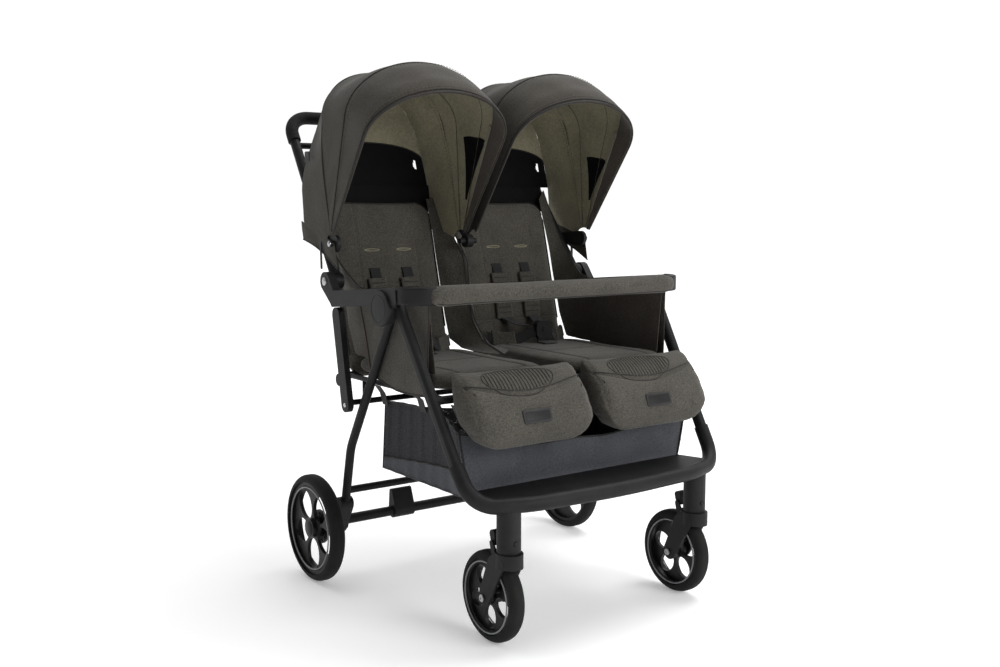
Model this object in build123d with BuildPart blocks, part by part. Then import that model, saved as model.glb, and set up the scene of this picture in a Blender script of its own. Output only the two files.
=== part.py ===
"""Side-by-side twin stroller on four wheels, millimetres.

+Z is up, X runs across, the front faces -Y and X = 0 is the plane of symmetry.
The origin lies on the floor below the middle of the whole object.
Left pieces have negative X. Distances from the plane of symmetry are given as positive x.
"""
from build123d import *
import math
import os

os.makedirs("parts", exist_ok=True)
SIDES = (("left", -1), ("right", 1))

# ---------------------------------------------------------------- driving sizes
running_gap = 0.05          # radial gap of a shaft that turns in its bore
side_gap = 0.5              # gap beside a turning or sliding piece
# rear wheels
rear_wheel_radius = 117.0
rear_tyre_width = 34.0
rear_half_track = 355.0
rear_axle_y = 203.0
rear_axle_radius = 5.0
rear_hub_half = 15.0
# front wheels and casters
front_wheel_radius = 88.0
front_tyre_width = 32.0
front_half_track = 241.0
caster_y = -363.0
caster_trail = 51.0
front_axle_radius = 4.0
caster_radius = 23.0
caster_bottom_z = 186.0
stem_radius = 8.0
stem_length = 50.0
release_z = 206.0
release_radius = 5.2
lock_width = 18.0
lock_y = caster_y + 38.0
lock_z = 196.0
fork_wall = 5.0
tyre_height = 15.0
rim_band = 8.0
spoke_count = 5
# front frame
front_bar_height = 30.0
front_bar_middle = (0.0, -403.0, 277.0)
front_bar_shoulder = (205.0, -389.0, 277.0)
front_bar_corner = (311.0, -350.0, 277.0)
footboard_thickness = 5.0
front_leg_top = (334.0, -129.0, 632.0)
front_leg_seam = (318.0, -304.0, 346.0)
leg_width = 20.0
leg_depth = 24.0
# armrests and hub
armrest_inner_x = 337.0
armrest_thickness = 18.0
armrest_height = 34.0
armrest_rear_y = 112.0
armrest_front_y = -155.0
armrest_rear_z = 628.0
armrest_slope = 4.8
hub_y = -100.0
hub_z = 622.0
hub_cover_radius = 36.0
hub_cover_thickness = 5.0
hub_pin_radius = 6.0
fold_pin_radius = 7.0
pin_inner_x = 316.0
release_x = 349.5
release_y = -136.0
release_width = 7.0
release_length = 22.0
link_top = (97.0, 596.0)
link_foot = (62.0, 410.0)
# rear legs and axle
rear_leg_radius = 9.5
rear_leg_x = 326.0
rear_leg_knee = (309.0, 118.0, 305.0)
rear_leg_foot = (300.0, 166.0, 165.0)
upper_tube_radius = 8.0
upper_tube_z = 203.0
axle_tube_radius = 11.0
axle_tube_y = 192.0
axle_tube_z = 126.0
bracket_outer_x = 316.0
bracket_inner_x = 286.0
brake_pin_radius = 4.0
brake_pin_y = 186.0
brake_pin_z = 141.0
pedal_x = -140.0
pedal_width = 52.0
# pusher
fold_pivot_y = 137.0
fold_pivot_z = 663.0
pusher_tube_radius = 11.0
pusher_x = 326.0
handle_y = 398.0
handle_z = 1021.0
handle_corner_x = 309.0
handle_bend = 52.0
grip_radius = 14.5
brace_radius = 7.0
grip_end_z = 56.0
brace_z = 955.0
post_radius = 6.0
# seats
seat_centre_x = 165.0
seat_half_width = 140.0
seat_top_z = 505.0
seat_thickness = 36.0
seat_front_y = -222.0
seat_rear_y = 122.0
back_pivot_y = 148.0
back_lean = 14.5
back_length = 391.0
back_thickness = 34.0
rail_x = 299.0
rail_radius = 5.5
rail_z = 459.0
pivot_tube_radius = 6.5
front_tube_y = -240.0
front_tube_radius = 8.0
link_tube_y = 72.0
link_tube_z = 412.0
link_tube_radius = 6.0
strut_radius = 4.5
# leg rests
leg_rest_centre_x = 156.0
leg_rest_half_width = 147.0
leg_rest_foot_z = 362.0
leg_rest_corner = 42.0
leg_rest_outline = ((-249, 514), (-252, 474), (-257, 447), (-298, 378), (-322, 362), (-345, 370),
                    (-350, 412), (-324, 460), (-278, 505))
buckle_y = 66.0
buckle_z = 536.0
buckle_button_radius = 7.0
# canopies
clip_y = 125.0
clip_z = 742.0
canopy_centre_x = 180.0
canopy_half_width = 167.0
canopy_radius = 383.0
canopy_shoulder = 268.0
canopy_apex = 26.0
clip_pin_radius = 6.0
cloth = 2.0
cloth_gap = 0.7
front_leaf = (-36.0, 19.0)      # degrees from upright, backwards positive, and its span
middle_leaf = (-16.5, 19.5)
rear_leaf_start = 3.5
rear_wall_y = 288.0
rear_window_top = 872.0
rear_plane = Plane(origin=(0, rear_wall_y, 1090), x_dir=(1, 0, 0), z_dir=(0, 1, -0.095))
# bumper bar
bumper_z = 652.0
bumper_y = -211.0
bumper_corner = 48.0
bumper_tube_radius = 6.0
bumper_arm_x = 346.0
bumper_pad_radius = 22.0
bumper_pad_half_width = 296.0
elbow_thickness = 13.0      # moulded elbow round each corner of the bumper tube
elbow_height = 34.0
socket_depth = 30.0
# basket
basket_half_width = 268.0
basket_floor_z = 264.0
basket_front_y = -286.0
basket_rear_y = 62.0
basket_front_top = 372.0
basket_rear_top = 415.0
basket_wall = 3.0


def save(piece, name):
    """Label a finished piece and write it as its own STEP file."""
    piece.label = name
    export_step(piece, f"parts/{name}.step")


def side_plane(x, y=0.0, z=0.0):
    """A plane square to X whose own axes run along Y and Z."""
    return Plane(origin=(x, y, z), x_dir=(0, 1, 0), z_dir=(1, 0, 0))


def front_plane(x, y, z):
    """A plane square to Y whose own axes run along X and down -Z; its normal is +Y."""
    return Plane(origin=(x, y, z), x_dir=(1, 0, 0), z_dir=(0, 1, 0))


def start_plane(points):
    """The plane square to a path's first run, at its first point."""
    return Plane(origin=points[0], z_dir=Vector(*points[1]) - Vector(*points[0]))


def mirrored(points):
    """The points' mirror images across the plane of symmetry, in reverse order."""
    return [(-x, y, z) for x, y, z in reversed(points)]


# ---------------------------------------------------------------- wheels
def make_wheel(prefix, side, sign, radius, width, half_track, axle_y, bore, hub_radius, hub_half,
               closed_end=0.0, brake_ring=False):
    """Tyre and rim with petal windows of one wheel, as two nodes."""
    seat_radius = radius - tyre_height
    centre = (sign * half_track, axle_y, radius)
    shaft = Axis(centre, (1, 0, 0))
    across = Plane(origin=centre, x_dir=(1, 0, 0), z_dir=(0, -1, 0))
    outward = Plane(origin=centre, x_dir=(0, 1, 0), z_dir=(sign, 0, 0))
    with BuildPart() as tyre:
        with BuildSketch(across) as section:
            with Locations((0, seat_radius + tyre_height / 2)):
                Rectangle(width, tyre_height)
            fillet(section.vertices().sort_by(Axis.Y)[-2:], tyre_height * 0.85)
        revolve(axis=shaft)
    save(tyre.part, f"{prefix}_tyre_{side}")

    window_outer = seat_radius - rim_band
    window_middle = (hub_radius + window_outer) / 2
    window_long = (window_outer - hub_radius) / 2 - 2
    window_wide = window_middle * math.sin(math.pi / spoke_count) - 6
    with BuildPart() as rim:
        with BuildSketch(across):
            with Locations((0, seat_radius - rim_band / 2)):
                Rectangle(width * 0.74, rim_band)
            with Locations((0, hub_radius / 2)):
                Rectangle(2 * hub_half, hub_radius)
        revolve(axis=shaft)
        with BuildSketch(outward.offset(-2)):
            Circle(window_outer + 1)
            with PolarLocations(window_middle, spoke_count, 90):
                Ellipse(window_long, window_wide, mode=Mode.SUBTRACT)
        extrude(amount=8)
        if brake_ring:
            pin_reach = math.hypot(brake_pin_y - axle_y, brake_pin_z - radius)
            pin_turn = math.degrees(math.atan2(brake_pin_z - radius, brake_pin_y - axle_y))
            with BuildSketch(outward.offset(-hub_half)):
                Circle(pin_reach + 8)
                with PolarLocations(pin_reach, 12, sign * pin_turn):
                    Circle(brake_pin_radius + 0.5, mode=Mode.SUBTRACT)
            extrude(amount=5)
        with BuildSketch(outward.offset(-hub_half)):
            Circle(bore)
        extrude(amount=2 * hub_half - closed_end, mode=Mode.SUBTRACT)
    save(rim.part, f"{prefix}_rim_{side}")


for side, sign in SIDES:
    make_wheel(
        "rear", side, sign, rear_wheel_radius, rear_tyre_width, rear_half_track, rear_axle_y,
        rear_axle_radius + running_gap, 21.0, rear_hub_half, closed_end=5.0, brake_ring=True,
    )
with BuildPart() as rear_axles:
    axle_start = bracket_inner_x + 6
    for side, sign in SIDES:
        with BuildSketch(Plane(origin=(sign * axle_start, rear_axle_y, rear_wheel_radius),
                               x_dir=(0, 1, 0), z_dir=(sign, 0, 0))):
            Circle(rear_axle_radius)
        extrude(amount=rear_half_track + rear_hub_half - 6 - axle_start)
save(rear_axles.part, "rear_axles")

# ---------------------------------------------------------------- casters
front_axle_y = caster_y + caster_trail
cheek_inner = front_tyre_width / 2 + 3
cheek_outer = cheek_inner + fork_wall
for side, sign in SIDES:
    x0 = sign * front_half_track
    make_wheel(
        "front", side, sign, front_wheel_radius, front_tyre_width, front_half_track,
        front_axle_y, front_axle_radius + running_gap, 15.0, cheek_inner - side_gap,
    )
    # the fork's stem and the lock lever's pin are moulded into it
    with BuildPart() as fork:
        with BuildSketch(side_plane(x0 - cheek_outer)):
            with Locations((front_axle_y - 4, front_wheel_radius + 2)):
                Circle(17)
            with Locations((caster_y + 6, 166), (caster_y + 16, 160)):
                Circle(19)
            make_hull()
        extrude(amount=2 * cheek_outer)
        with BuildSketch(Plane.XY.offset(158)):
            with Locations((x0, caster_y)):
                Ellipse(cheek_outer + 1, 31)
        extrude(amount=caster_bottom_z - side_gap - 158)
        with BuildSketch(side_plane(x0 - cheek_inner, front_axle_y, front_wheel_radius)):
            Circle(front_wheel_radius + 3.5)
        extrude(amount=2 * cheek_inner, mode=Mode.SUBTRACT)
        with BuildSketch(side_plane(x0 - cheek_outer - 1, front_axle_y, front_wheel_radius)):
            Circle(front_axle_radius)
        extrude(amount=2 * cheek_outer + 2, mode=Mode.SUBTRACT)
        with BuildSketch(Plane.XY.offset(caster_bottom_z - 6)):
            with Locations((x0, caster_y)):
                Circle(stem_radius)
        extrude(amount=stem_length + 6)
        for ear_x in (x0 - lock_width / 2 - 4.5, x0 + lock_width / 2 + 0.5):
            with BuildSketch(side_plane(ear_x, lock_y, lock_z)):
                Circle(5)
                with Locations((-7, -17)):
                    Rectangle(12, 10)
                make_hull()
            extrude(amount=4)
        with BuildSketch(side_plane(x0 - lock_width / 2 - 2, lock_y, lock_z)):
            Circle(2.5)
        extrude(amount=lock_width + 4)
    save(fork.part, f"caster_fork_{side}")
    with BuildPart() as axle:
        with BuildSketch(side_plane(x0 - cheek_outer, front_axle_y, front_wheel_radius)):
            Circle(front_axle_radius)
        extrude(amount=2 * cheek_outer)
        for start, amount in ((x0 - cheek_outer, -3), (x0 + cheek_outer, 3)):
            with BuildSketch(side_plane(start, front_axle_y, front_wheel_radius)):
                Circle(7)
            extrude(amount=amount)
    save(axle.part, f"front_axle_{side}")
    with BuildPart() as housing:
        with BuildSketch(Plane.XY.offset(caster_bottom_z)):
            with Locations((x0, caster_y)):
                Circle(caster_radius)
        extrude(amount=front_bar_middle[2] - 7 - caster_bottom_z)
        with BuildSketch(Plane.XY.offset(caster_bottom_z)):
            with Locations((x0, caster_y)):
                Circle(stem_radius + running_gap)
        extrude(amount=stem_length + 1, mode=Mode.SUBTRACT)
        with BuildSketch(Plane(origin=(x0, caster_y - caster_radius - 1, release_z),
                               z_dir=(0, 1, 0))):
            Circle(release_radius + 0.3)
        extrude(amount=8, mode=Mode.SUBTRACT)
    save(housing.part, f"caster_housing_{side}")
    with BuildPart() as release:
        with BuildSketch(Plane(origin=(x0, caster_y - caster_radius - 1.5, release_z),
                               z_dir=(0, 1, 0))):
            Circle(release_radius)
        extrude(amount=5)
        fillet(release.faces().sort_by(Axis.Y)[0].edges(), 1.2)
    save(release.part, f"wheel_release_{side}")
    with BuildPart() as lock:
        with BuildSketch(side_plane(x0 - lock_width / 2, lock_y, lock_z)):
            Circle(6)
            with Locations((3, 16)):
                Circle(8)
            make_hull()
            Circle(2.5 + running_gap, mode=Mode.SUBTRACT)
        extrude(amount=lock_width)
    save(lock.part, f"swivel_lock_{side}")

# ---------------------------------------------------------------- front frame
leg_line = Vector(*front_leg_top) - Vector(*front_leg_seam)
right_bar = [front_bar_shoulder, front_bar_corner, front_leg_seam]
bar_points = mirrored(right_bar) + [front_bar_middle] + right_bar
with BuildPart() as front_bar:
    with BuildLine():
        FilletPolyline(*bar_points, radius=[62, 150, 1200, 150, 62])
    with BuildSketch(start_plane(bar_points)):
        Circle(front_bar_height / 2)
    sweep()
    with BuildSketch(Plane.XY.offset(front_bar_middle[2] + 6)):
        with BuildLine():
            Polyline((-288, -345), (-200, -384), (0, -396), (200, -384), (288, -345),
                     (268, basket_front_y), (-268, basket_front_y), close=True)
        make_face()
    extrude(amount=footboard_thickness)
save(front_bar.part, "front_bar")
with BuildPart() as front_legs:
    for side, sign in SIDES:
        seam = Vector(sign * front_leg_seam[0], *front_leg_seam[1:])
        top = Vector(sign * front_leg_top[0], *front_leg_top[1:])
        with BuildSketch(Plane(origin=seam, x_dir=(1, 0, 0), z_dir=top - seam)):
            RectangleRounded(leg_width, leg_depth, 8)
        extrude(amount=leg_line.length)
save(front_legs.part, "front_legs")

# ---------------------------------------------------------------- armrests and hubs
arm_middle_y = (armrest_rear_y + armrest_front_y) / 2
arm_length = (armrest_rear_y - armrest_front_y) / math.cos(math.radians(armrest_slope))


def armrest_z(y):
    """Height of the armrest's middle line, which rises towards the front."""
    return armrest_rear_z + (armrest_rear_y - y) * math.tan(math.radians(armrest_slope))


with BuildPart() as armrests:
    for side, sign in SIDES:
        inner = Plane(origin=(sign * armrest_inner_x, 0, 0), x_dir=(0, 1, 0), z_dir=(sign, 0, 0))
        up = sign      # the plane's own y runs up on the right and down on the left
        with BuildSketch(inner):
            with Locations(Location((arm_middle_y, up * armrest_z(arm_middle_y)),
                                    -up * armrest_slope)):
                RectangleRounded(arm_length, armrest_height, 7)
            with Locations((hub_y, up * (hub_z + 2))):
                Circle(hub_cover_radius - 3)
            with BuildSketch(mode=Mode.PRIVATE) as ear:
                with Locations((fold_pivot_y, up * fold_pivot_z)):
                    Circle(20)
                with Locations((armrest_rear_y - 12, up * (armrest_rear_z - 3))):
                    Circle(13)
                make_hull()
            add(ear.sketch)
            with Locations((hub_y, up * hub_z)):
                Circle(hub_pin_radius, mode=Mode.SUBTRACT)
            with Locations((fold_pivot_y, up * fold_pivot_z)):
                Circle(fold_pin_radius, mode=Mode.SUBTRACT)
        extrude(amount=armrest_thickness)
        with BuildSketch(Plane(origin=(sign * bumper_arm_x, armrest_front_y - 20, bumper_z),
                               z_dir=(0, 1, 0))):
            Circle(bumper_tube_radius + 0.3)
        extrude(amount=20 + socket_depth, mode=Mode.SUBTRACT)
        with BuildSketch(Plane.XY.offset(armrest_z(release_y) - armrest_height / 2 - 4)):
            with Locations((sign * release_x, release_y)):
                RectangleRounded(release_width + 0.6, release_length + 0.6, 3.7)
        extrude(amount=10, mode=Mode.SUBTRACT)
save(armrests.part, "armrests")
for side, sign in SIDES:
    with BuildPart() as trigger:
        with BuildSketch(Plane.XY.offset(armrest_z(release_y) - armrest_height / 2 - 4)):
            with Locations((sign * release_x, release_y)):
                RectangleRounded(release_width, release_length, 3.4)
        extrude(amount=7)
    save(trigger.part, f"bumper_release_{side}")
with BuildPart() as hub_covers:
    for side, sign in SIDES:
        outer = Plane(origin=(sign * (armrest_inner_x + armrest_thickness), hub_y, hub_z + 2),
                      x_dir=(0, 1, 0), z_dir=(sign, 0, 0))
        with BuildSketch(outer):
            Circle(hub_cover_radius)
        extrude(amount=hub_cover_thickness, taper=12)
save(hub_covers.part, "hub_covers")
with BuildPart() as hub_pins:
    for side, sign in SIDES:
        for y, z, radius in ((hub_y, hub_z, hub_pin_radius),
                             (fold_pivot_y, fold_pivot_z, fold_pin_radius)):
            with BuildSketch(Plane(origin=(sign * pin_inner_x, y, z), x_dir=(0, 1, 0),
                                   z_dir=(sign, 0, 0))):
                Circle(radius)
            extrude(amount=armrest_inner_x + armrest_thickness - pin_inner_x)
save(hub_pins.part, "hub_pins")
with BuildPart() as side_links:
    for side, sign in SIDES:
        with BuildSketch(Plane(origin=(sign * 338.5, 0, 0), x_dir=(0, 1, 0), z_dir=(sign, 0, 0))):
            for y, z, radius in ((link_top[0], link_top[1], 15), (link_foot[0], link_foot[1], 15)):
                with Locations((y, sign * z)):
                    Circle(radius)
            make_hull()
            with Locations((link_foot[0] + 26, sign * (link_foot[1] + 50))):
                Circle(13)
        extrude(amount=13)
save(side_links.part, "side_links")

# ---------------------------------------------------------------- rear legs and axle
for side, sign in SIDES:
    leg_points = [(sign * rear_leg_x, hub_y, hub_z)]
    leg_points += [(sign * x, y, z) for x, y, z in (rear_leg_knee, rear_leg_foot)]
    with BuildPart() as rear_leg:
        with BuildLine():
            FilletPolyline(*leg_points, radius=130)
        with BuildSketch(start_plane(leg_points)):
            Circle(rear_leg_radius)
        sweep()
        with BuildSketch(side_plane(sign * rear_leg_x - 9.5, hub_y, hub_z)):
            Circle(14)
        extrude(amount=19)
        with BuildSketch(side_plane(sign * rear_leg_x - 15, hub_y, hub_z)):
            Circle(hub_pin_radius + running_gap)
        extrude(amount=30, mode=Mode.SUBTRACT)
    save(rear_leg.part, f"rear_leg_{side}")
with BuildPart() as rear_brackets:
    for side, sign in SIDES:
        inner = Plane(origin=(sign * bracket_inner_x, 0, 0), x_dir=(0, 1, 0), z_dir=(sign, 0, 0))
        with BuildSketch(inner):
            for y, z, radius in ((rear_axle_y, rear_wheel_radius, 20),
                                 (rear_leg_foot[1], rear_leg_foot[2] + 6, 15)):
                with Locations((y, sign * z)):
                    Circle(radius)
            make_hull()
        extrude(amount=bracket_outer_x - bracket_inner_x)
        with BuildSketch(inner.offset(-5)):
            with Locations((rear_axle_y, sign * rear_wheel_radius)):
                Circle(16)
        extrude(amount=rear_half_track - rear_hub_half - side_gap - bracket_inner_x + 5)
        with BuildSketch(inner.offset(6)):
            with Locations((rear_axle_y, sign * rear_wheel_radius)):
                Circle(rear_axle_radius)
        extrude(amount=60, mode=Mode.SUBTRACT)
        with BuildSketch(inner.offset(8)):
            with Locations((brake_pin_y, sign * brake_pin_z)):
                Circle(brake_pin_radius + running_gap)
        extrude(amount=40, mode=Mode.SUBTRACT)
save(rear_brackets.part, "rear_brackets")
for side, sign in SIDES:
    with BuildPart() as pin:
        with BuildSketch(Plane(origin=(sign * (bracket_inner_x + 9), brake_pin_y, brake_pin_z),
                               z_dir=(sign, 0, 0))):
            Circle(brake_pin_radius)
        extrude(amount=bracket_outer_x - bracket_inner_x - 2)
    save(pin.part, f"brake_pin_{side}")
leg_share = (rear_leg_knee[2] - upper_tube_z) / (rear_leg_knee[2] - rear_leg_foot[2])
upper_tube_y = rear_leg_knee[1] + leg_share * (rear_leg_foot[1] - rear_leg_knee[1])
upper_tube_half = rear_leg_knee[0] + leg_share * (rear_leg_foot[0] - rear_leg_knee[0])
with BuildPart() as upper_tube:
    with BuildSketch(side_plane(-upper_tube_half, upper_tube_y, upper_tube_z)):
        Circle(upper_tube_radius)
    extrude(amount=2 * upper_tube_half)
save(upper_tube.part, "upper_cross_tube")
with BuildPart() as axle_tube:
    with BuildSketch(side_plane(-bracket_inner_x - 2, axle_tube_y, axle_tube_z)):
        Circle(axle_tube_radius)
    extrude(amount=2 * bracket_inner_x + 4)
save(axle_tube.part, "axle_tube")
with BuildPart() as pedal:
    with BuildSketch(side_plane(pedal_x - pedal_width / 2, axle_tube_y, axle_tube_z)):
        Circle(axle_tube_radius + 5)
        with Locations((4, 30), (6, 44)):
            Circle(6)
        make_hull()
    extrude(amount=pedal_width)
    with BuildSketch(side_plane(pedal_x - pedal_width / 2 - 1, axle_tube_y, axle_tube_z)):
        Circle(axle_tube_radius + running_gap)
    extrude(amount=pedal_width + 2, mode=Mode.SUBTRACT)
save(pedal.part, "brake_pedal")

# ---------------------------------------------------------------- pusher
handle_points = [(-pusher_x, fold_pivot_y, fold_pivot_z), (-handle_corner_x, handle_y, handle_z),
                 (handle_corner_x, handle_y, handle_z), (pusher_x, fold_pivot_y, fold_pivot_z)]
with BuildPart() as pusher:
    with BuildLine():
        FilletPolyline(*handle_points, radius=handle_bend)
    with BuildSketch(start_plane(handle_points)):
        Circle(pusher_tube_radius)
    sweep()
    for side, sign in SIDES:
        with BuildSketch(side_plane(sign * pusher_x - 9.5, fold_pivot_y, fold_pivot_z)):
            Circle(17)
        extrude(amount=19)
        with BuildSketch(side_plane(sign * pusher_x - 20, fold_pivot_y, fold_pivot_z)):
            Circle(fold_pin_radius + running_gap)
        extrude(amount=40, mode=Mode.SUBTRACT)
save(pusher.part, "pusher_tube")
grip_share = grip_end_z / (handle_z - fold_pivot_z)
grip_start = Vector(*handle_points[1]) * (1 - grip_share) + Vector(*handle_points[0]) * grip_share
grip_points = [tuple(grip_start), handle_points[1], handle_points[2],
               (-grip_start.X, grip_start.Y, grip_start.Z)]
with BuildPart() as grip:
    with BuildLine():
        FilletPolyline(*grip_points, radius=handle_bend)
    with BuildSketch(start_plane(grip_points)):
        Circle(grip_radius)
        Circle(pusher_tube_radius, mode=Mode.SUBTRACT)
    sweep()
save(grip.part, "handle_grip")
brace_share = (brace_z - fold_pivot_z) / (handle_z - fold_pivot_z)
brace_y = fold_pivot_y + brace_share * (handle_y - fold_pivot_y)
brace_half = pusher_x + brace_share * (handle_corner_x - pusher_x)
with BuildPart() as brace:
    with BuildSketch(side_plane(-brace_half, brace_y, brace_z)):
        Circle(brace_radius)
    extrude(amount=2 * brace_half)
    post = Vector(0, brace_y, brace_z) - Vector(0, clip_y, clip_z)
    with BuildSketch(Plane(origin=(0, clip_y, clip_z), z_dir=post)):
        Circle(post_radius)
    extrude(amount=post.length)
save(brace.part, "handle_brace")
tube_at_clip_y = fold_pivot_y + (clip_z - fold_pivot_z) * (handle_y - fold_pivot_y) / (
    handle_z - fold_pivot_z)
with BuildPart() as clips:
    for side, sign in SIDES:
        with BuildSketch(Plane(origin=(sign * 330, 0, 0), x_dir=(0, 1, 0), z_dir=(sign, 0, 0))):
            with Locations((clip_y, sign * clip_z)):
                Circle(18)
            with Locations((tube_at_clip_y, sign * clip_z)):
                Circle(12)
            make_hull()
        extrude(amount=8)
        with BuildSketch(Plane(origin=(sign * 330, clip_y, clip_z), z_dir=(sign, 0, 0))):
            Circle(clip_pin_radius)
        extrude(amount=canopy_centre_x + canopy_half_width + 2 - 330)
    with BuildSketch(side_plane(-canopy_centre_x + canopy_half_width - 9, clip_y, clip_z)):
        Circle(clip_pin_radius)
    extrude(amount=2 * (canopy_centre_x - canopy_half_width + 9))
    with BuildSketch(side_plane(-8, clip_y, clip_z)):
        Circle(15)
    extrude(amount=16)
save(clips.part, "canopy_clips")

# ---------------------------------------------------------------- canopies
def canopy_profile(centre_x, inset, foot):
    """Outline of a canopy bow seen along its cloth: straight sides and an elliptical crown."""
    half = canopy_half_width - inset
    crown = canopy_radius - inset - canopy_shoulder
    with BuildSketch(mode=Mode.PRIVATE) as profile:
        with BuildLine():
            Line((centre_x - half, foot), (centre_x - half, canopy_shoulder))
            EllipticalCenterArc((centre_x, canopy_shoulder), half, crown,
                                start_angle=0, arc_size=180)
            Line((centre_x + half, canopy_shoulder), (centre_x + half, foot))
            Line((centre_x + half, foot), (centre_x - half, foot))
        make_face()
    return profile.sketch


def bow_plane(degrees):
    """The upright plane through the clips' axis, leaned back by some degrees."""
    lean = math.radians(degrees)
    return Plane(origin=(0, clip_y, clip_z), x_dir=(1, 0, 0),
                 z_dir=(0, -math.cos(lean), math.sin(lean)))


clip_axis = Axis((0, clip_y, clip_z), (-1, 0, 0))
for side, sign in SIDES:
    middle_x = sign * canopy_centre_x
    for name, (start, span), inset in (("front", front_leaf, 0.0),
                                       ("middle", middle_leaf, cloth + cloth_gap)):
        with BuildPart() as leaf:
            with BuildSketch(bow_plane(start)):
                add(canopy_profile(middle_x, inset, canopy_apex))
            revolve(axis=clip_axis, revolution_arc=span)
            with BuildSketch(bow_plane(start - 5)):
                add(canopy_profile(middle_x, inset + cloth, 0))
            revolve(axis=clip_axis, revolution_arc=span + 10, mode=Mode.SUBTRACT)
        save(leaf.part, f"canopy_{name}_{side}")
    inset = 2 * (cloth + cloth_gap)
    with BuildPart() as inside:
        with BuildSketch(bow_plane(rear_leaf_start - 5)):
            add(canopy_profile(middle_x, inset + cloth, 0))
        revolve(axis=clip_axis, revolution_arc=95)
        split(bisect_by=rear_plane.offset(-cloth), keep=Keep.BOTTOM)
    with BuildPart() as rear:
        with BuildSketch(bow_plane(rear_leaf_start)):
            add(canopy_profile(middle_x, inset, canopy_apex))
        revolve(axis=clip_axis, revolution_arc=70)
        split(bisect_by=rear_plane, keep=Keep.BOTTOM)
        add(inside.part, mode=Mode.SUBTRACT)
        with BuildSketch(front_plane(middle_x, rear_wall_y - 60, 0)):
            with Locations((0, -rear_window_top + 100)):
                Rectangle(2 * (canopy_half_width - inset - cloth), 200)
        extrude(amount=120, mode=Mode.SUBTRACT)
    save(rear.part, f"canopy_rear_{side}")

# ---------------------------------------------------------------- seats
with BuildPart() as seat_frame:
    for side, sign in SIDES:
        with BuildSketch(Plane(origin=(sign * rail_x, front_tube_y, rail_z), z_dir=(0, 1, 0))):
            Circle(rail_radius)
        extrude(amount=back_pivot_y - front_tube_y)
        with BuildSketch(Plane.XY.offset(link_tube_z)):
            with Locations((sign * rail_x, link_tube_y)):
                Circle(strut_radius)
        extrude(amount=rail_z - link_tube_z)
    for y, z, half, radius in ((front_tube_y, rail_z, 324.5, front_tube_radius),
                               (back_pivot_y, rail_z, rail_x + 7, pivot_tube_radius),
                               (link_tube_y, link_tube_z, 345.0, link_tube_radius)):
        with BuildSketch(side_plane(-half, y, z)):
            Circle(radius)
        extrude(amount=2 * half)
save(seat_frame.part, "seat_frame")
for side, sign in SIDES:
    x0 = sign * seat_centre_x
    with BuildPart() as cushion:
        with BuildSketch(Plane.XY.offset(seat_top_z - seat_thickness)):
            with Locations((x0, (seat_front_y + seat_rear_y) / 2)):
                RectangleRounded(2 * seat_half_width, seat_rear_y - seat_front_y, 22)
        extrude(amount=seat_thickness)
        fillet(cushion.faces().sort_by(Axis.Z)[-1].edges(), 12)
    save(cushion.part, f"seat_cushion_{side}")

    lean = math.radians(back_lean)
    back_face = Plane(origin=(x0, back_pivot_y, rail_z), x_dir=(1, 0, 0),
                      z_dir=(0, -math.cos(lean), math.sin(lean)))
    with BuildPart() as back:
        with BuildSketch(back_face.offset(-back_thickness / 2)):
            with BuildLine():
                top = back_length
                Line((-seat_half_width, 25), (-seat_half_width, top - 90))
                EllipticalCenterArc((0, top - 90), seat_half_width, 90,
                                    start_angle=0, arc_size=180)
                Line((seat_half_width, top - 90), (seat_half_width, 25))
                Line((seat_half_width, 25), (-seat_half_width, 25))
            make_face()
            with Locations((0, 20)):
                Rectangle(2 * seat_half_width - 48, 40)
        extrude(amount=back_thickness)
        with BuildSketch(side_plane(x0 - seat_half_width + 24, back_pivot_y, rail_z)):
            Circle(back_thickness / 2)
        extrude(amount=2 * seat_half_width - 48)
        with BuildSketch(side_plane(x0 - seat_half_width, back_pivot_y, rail_z)):
            Circle(pivot_tube_radius + running_gap)
        extrude(amount=2 * seat_half_width, mode=Mode.SUBTRACT)
    save(back.part, f"seat_back_{side}")

    x0 = sign * leg_rest_centre_x
    with BuildPart() as leg_rest:
        with BuildSketch(side_plane(x0 - leg_rest_half_width)) as side_view:

            with BuildLine():
                Polyline(*leg_rest_outline, close=True)
            make_face()
            fillet(side_view.vertices(), 11)
        extrude(amount=2 * leg_rest_half_width)
        with BuildSketch(front_plane(x0, -380, 0)):
            with Locations((0, -leg_rest_foot_z - 100)):
                RectangleRounded(2 * leg_rest_half_width, 200, leg_rest_corner)
        extrude(amount=200, mode=Mode.INTERSECT)
        with BuildSketch(side_plane(x0 - leg_rest_half_width + 20)):
            with Locations((front_tube_y, rail_z)):
                Circle(13)
            with Locations((front_tube_y - 22, rail_z)):
                Circle(13)
            make_hull()
        extrude(amount=2 * leg_rest_half_width - 40)
        with BuildSketch(side_plane(x0 - leg_rest_half_width, front_tube_y, rail_z)):
            Circle(front_tube_radius + running_gap)
        extrude(amount=2 * leg_rest_half_width, mode=Mode.SUBTRACT)
    save(leg_rest.part, f"leg_rest_{side}")
with BuildPart() as side_panels:
    for side, sign in SIDES:
        with BuildSketch(Plane(origin=(sign * 305.8, 0, 0), x_dir=(0, 1, 0), z_dir=(sign, 0, 0))):
            with BuildLine():
                Polyline(*[(y, sign * z) for y, z in ((-205, 476), (-150, 604), (70, 604),
                                                      (118, 540), (118, 476))], close=True)
            make_face()
        extrude(amount=2)
save(side_panels.part, "side_panels")

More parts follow.
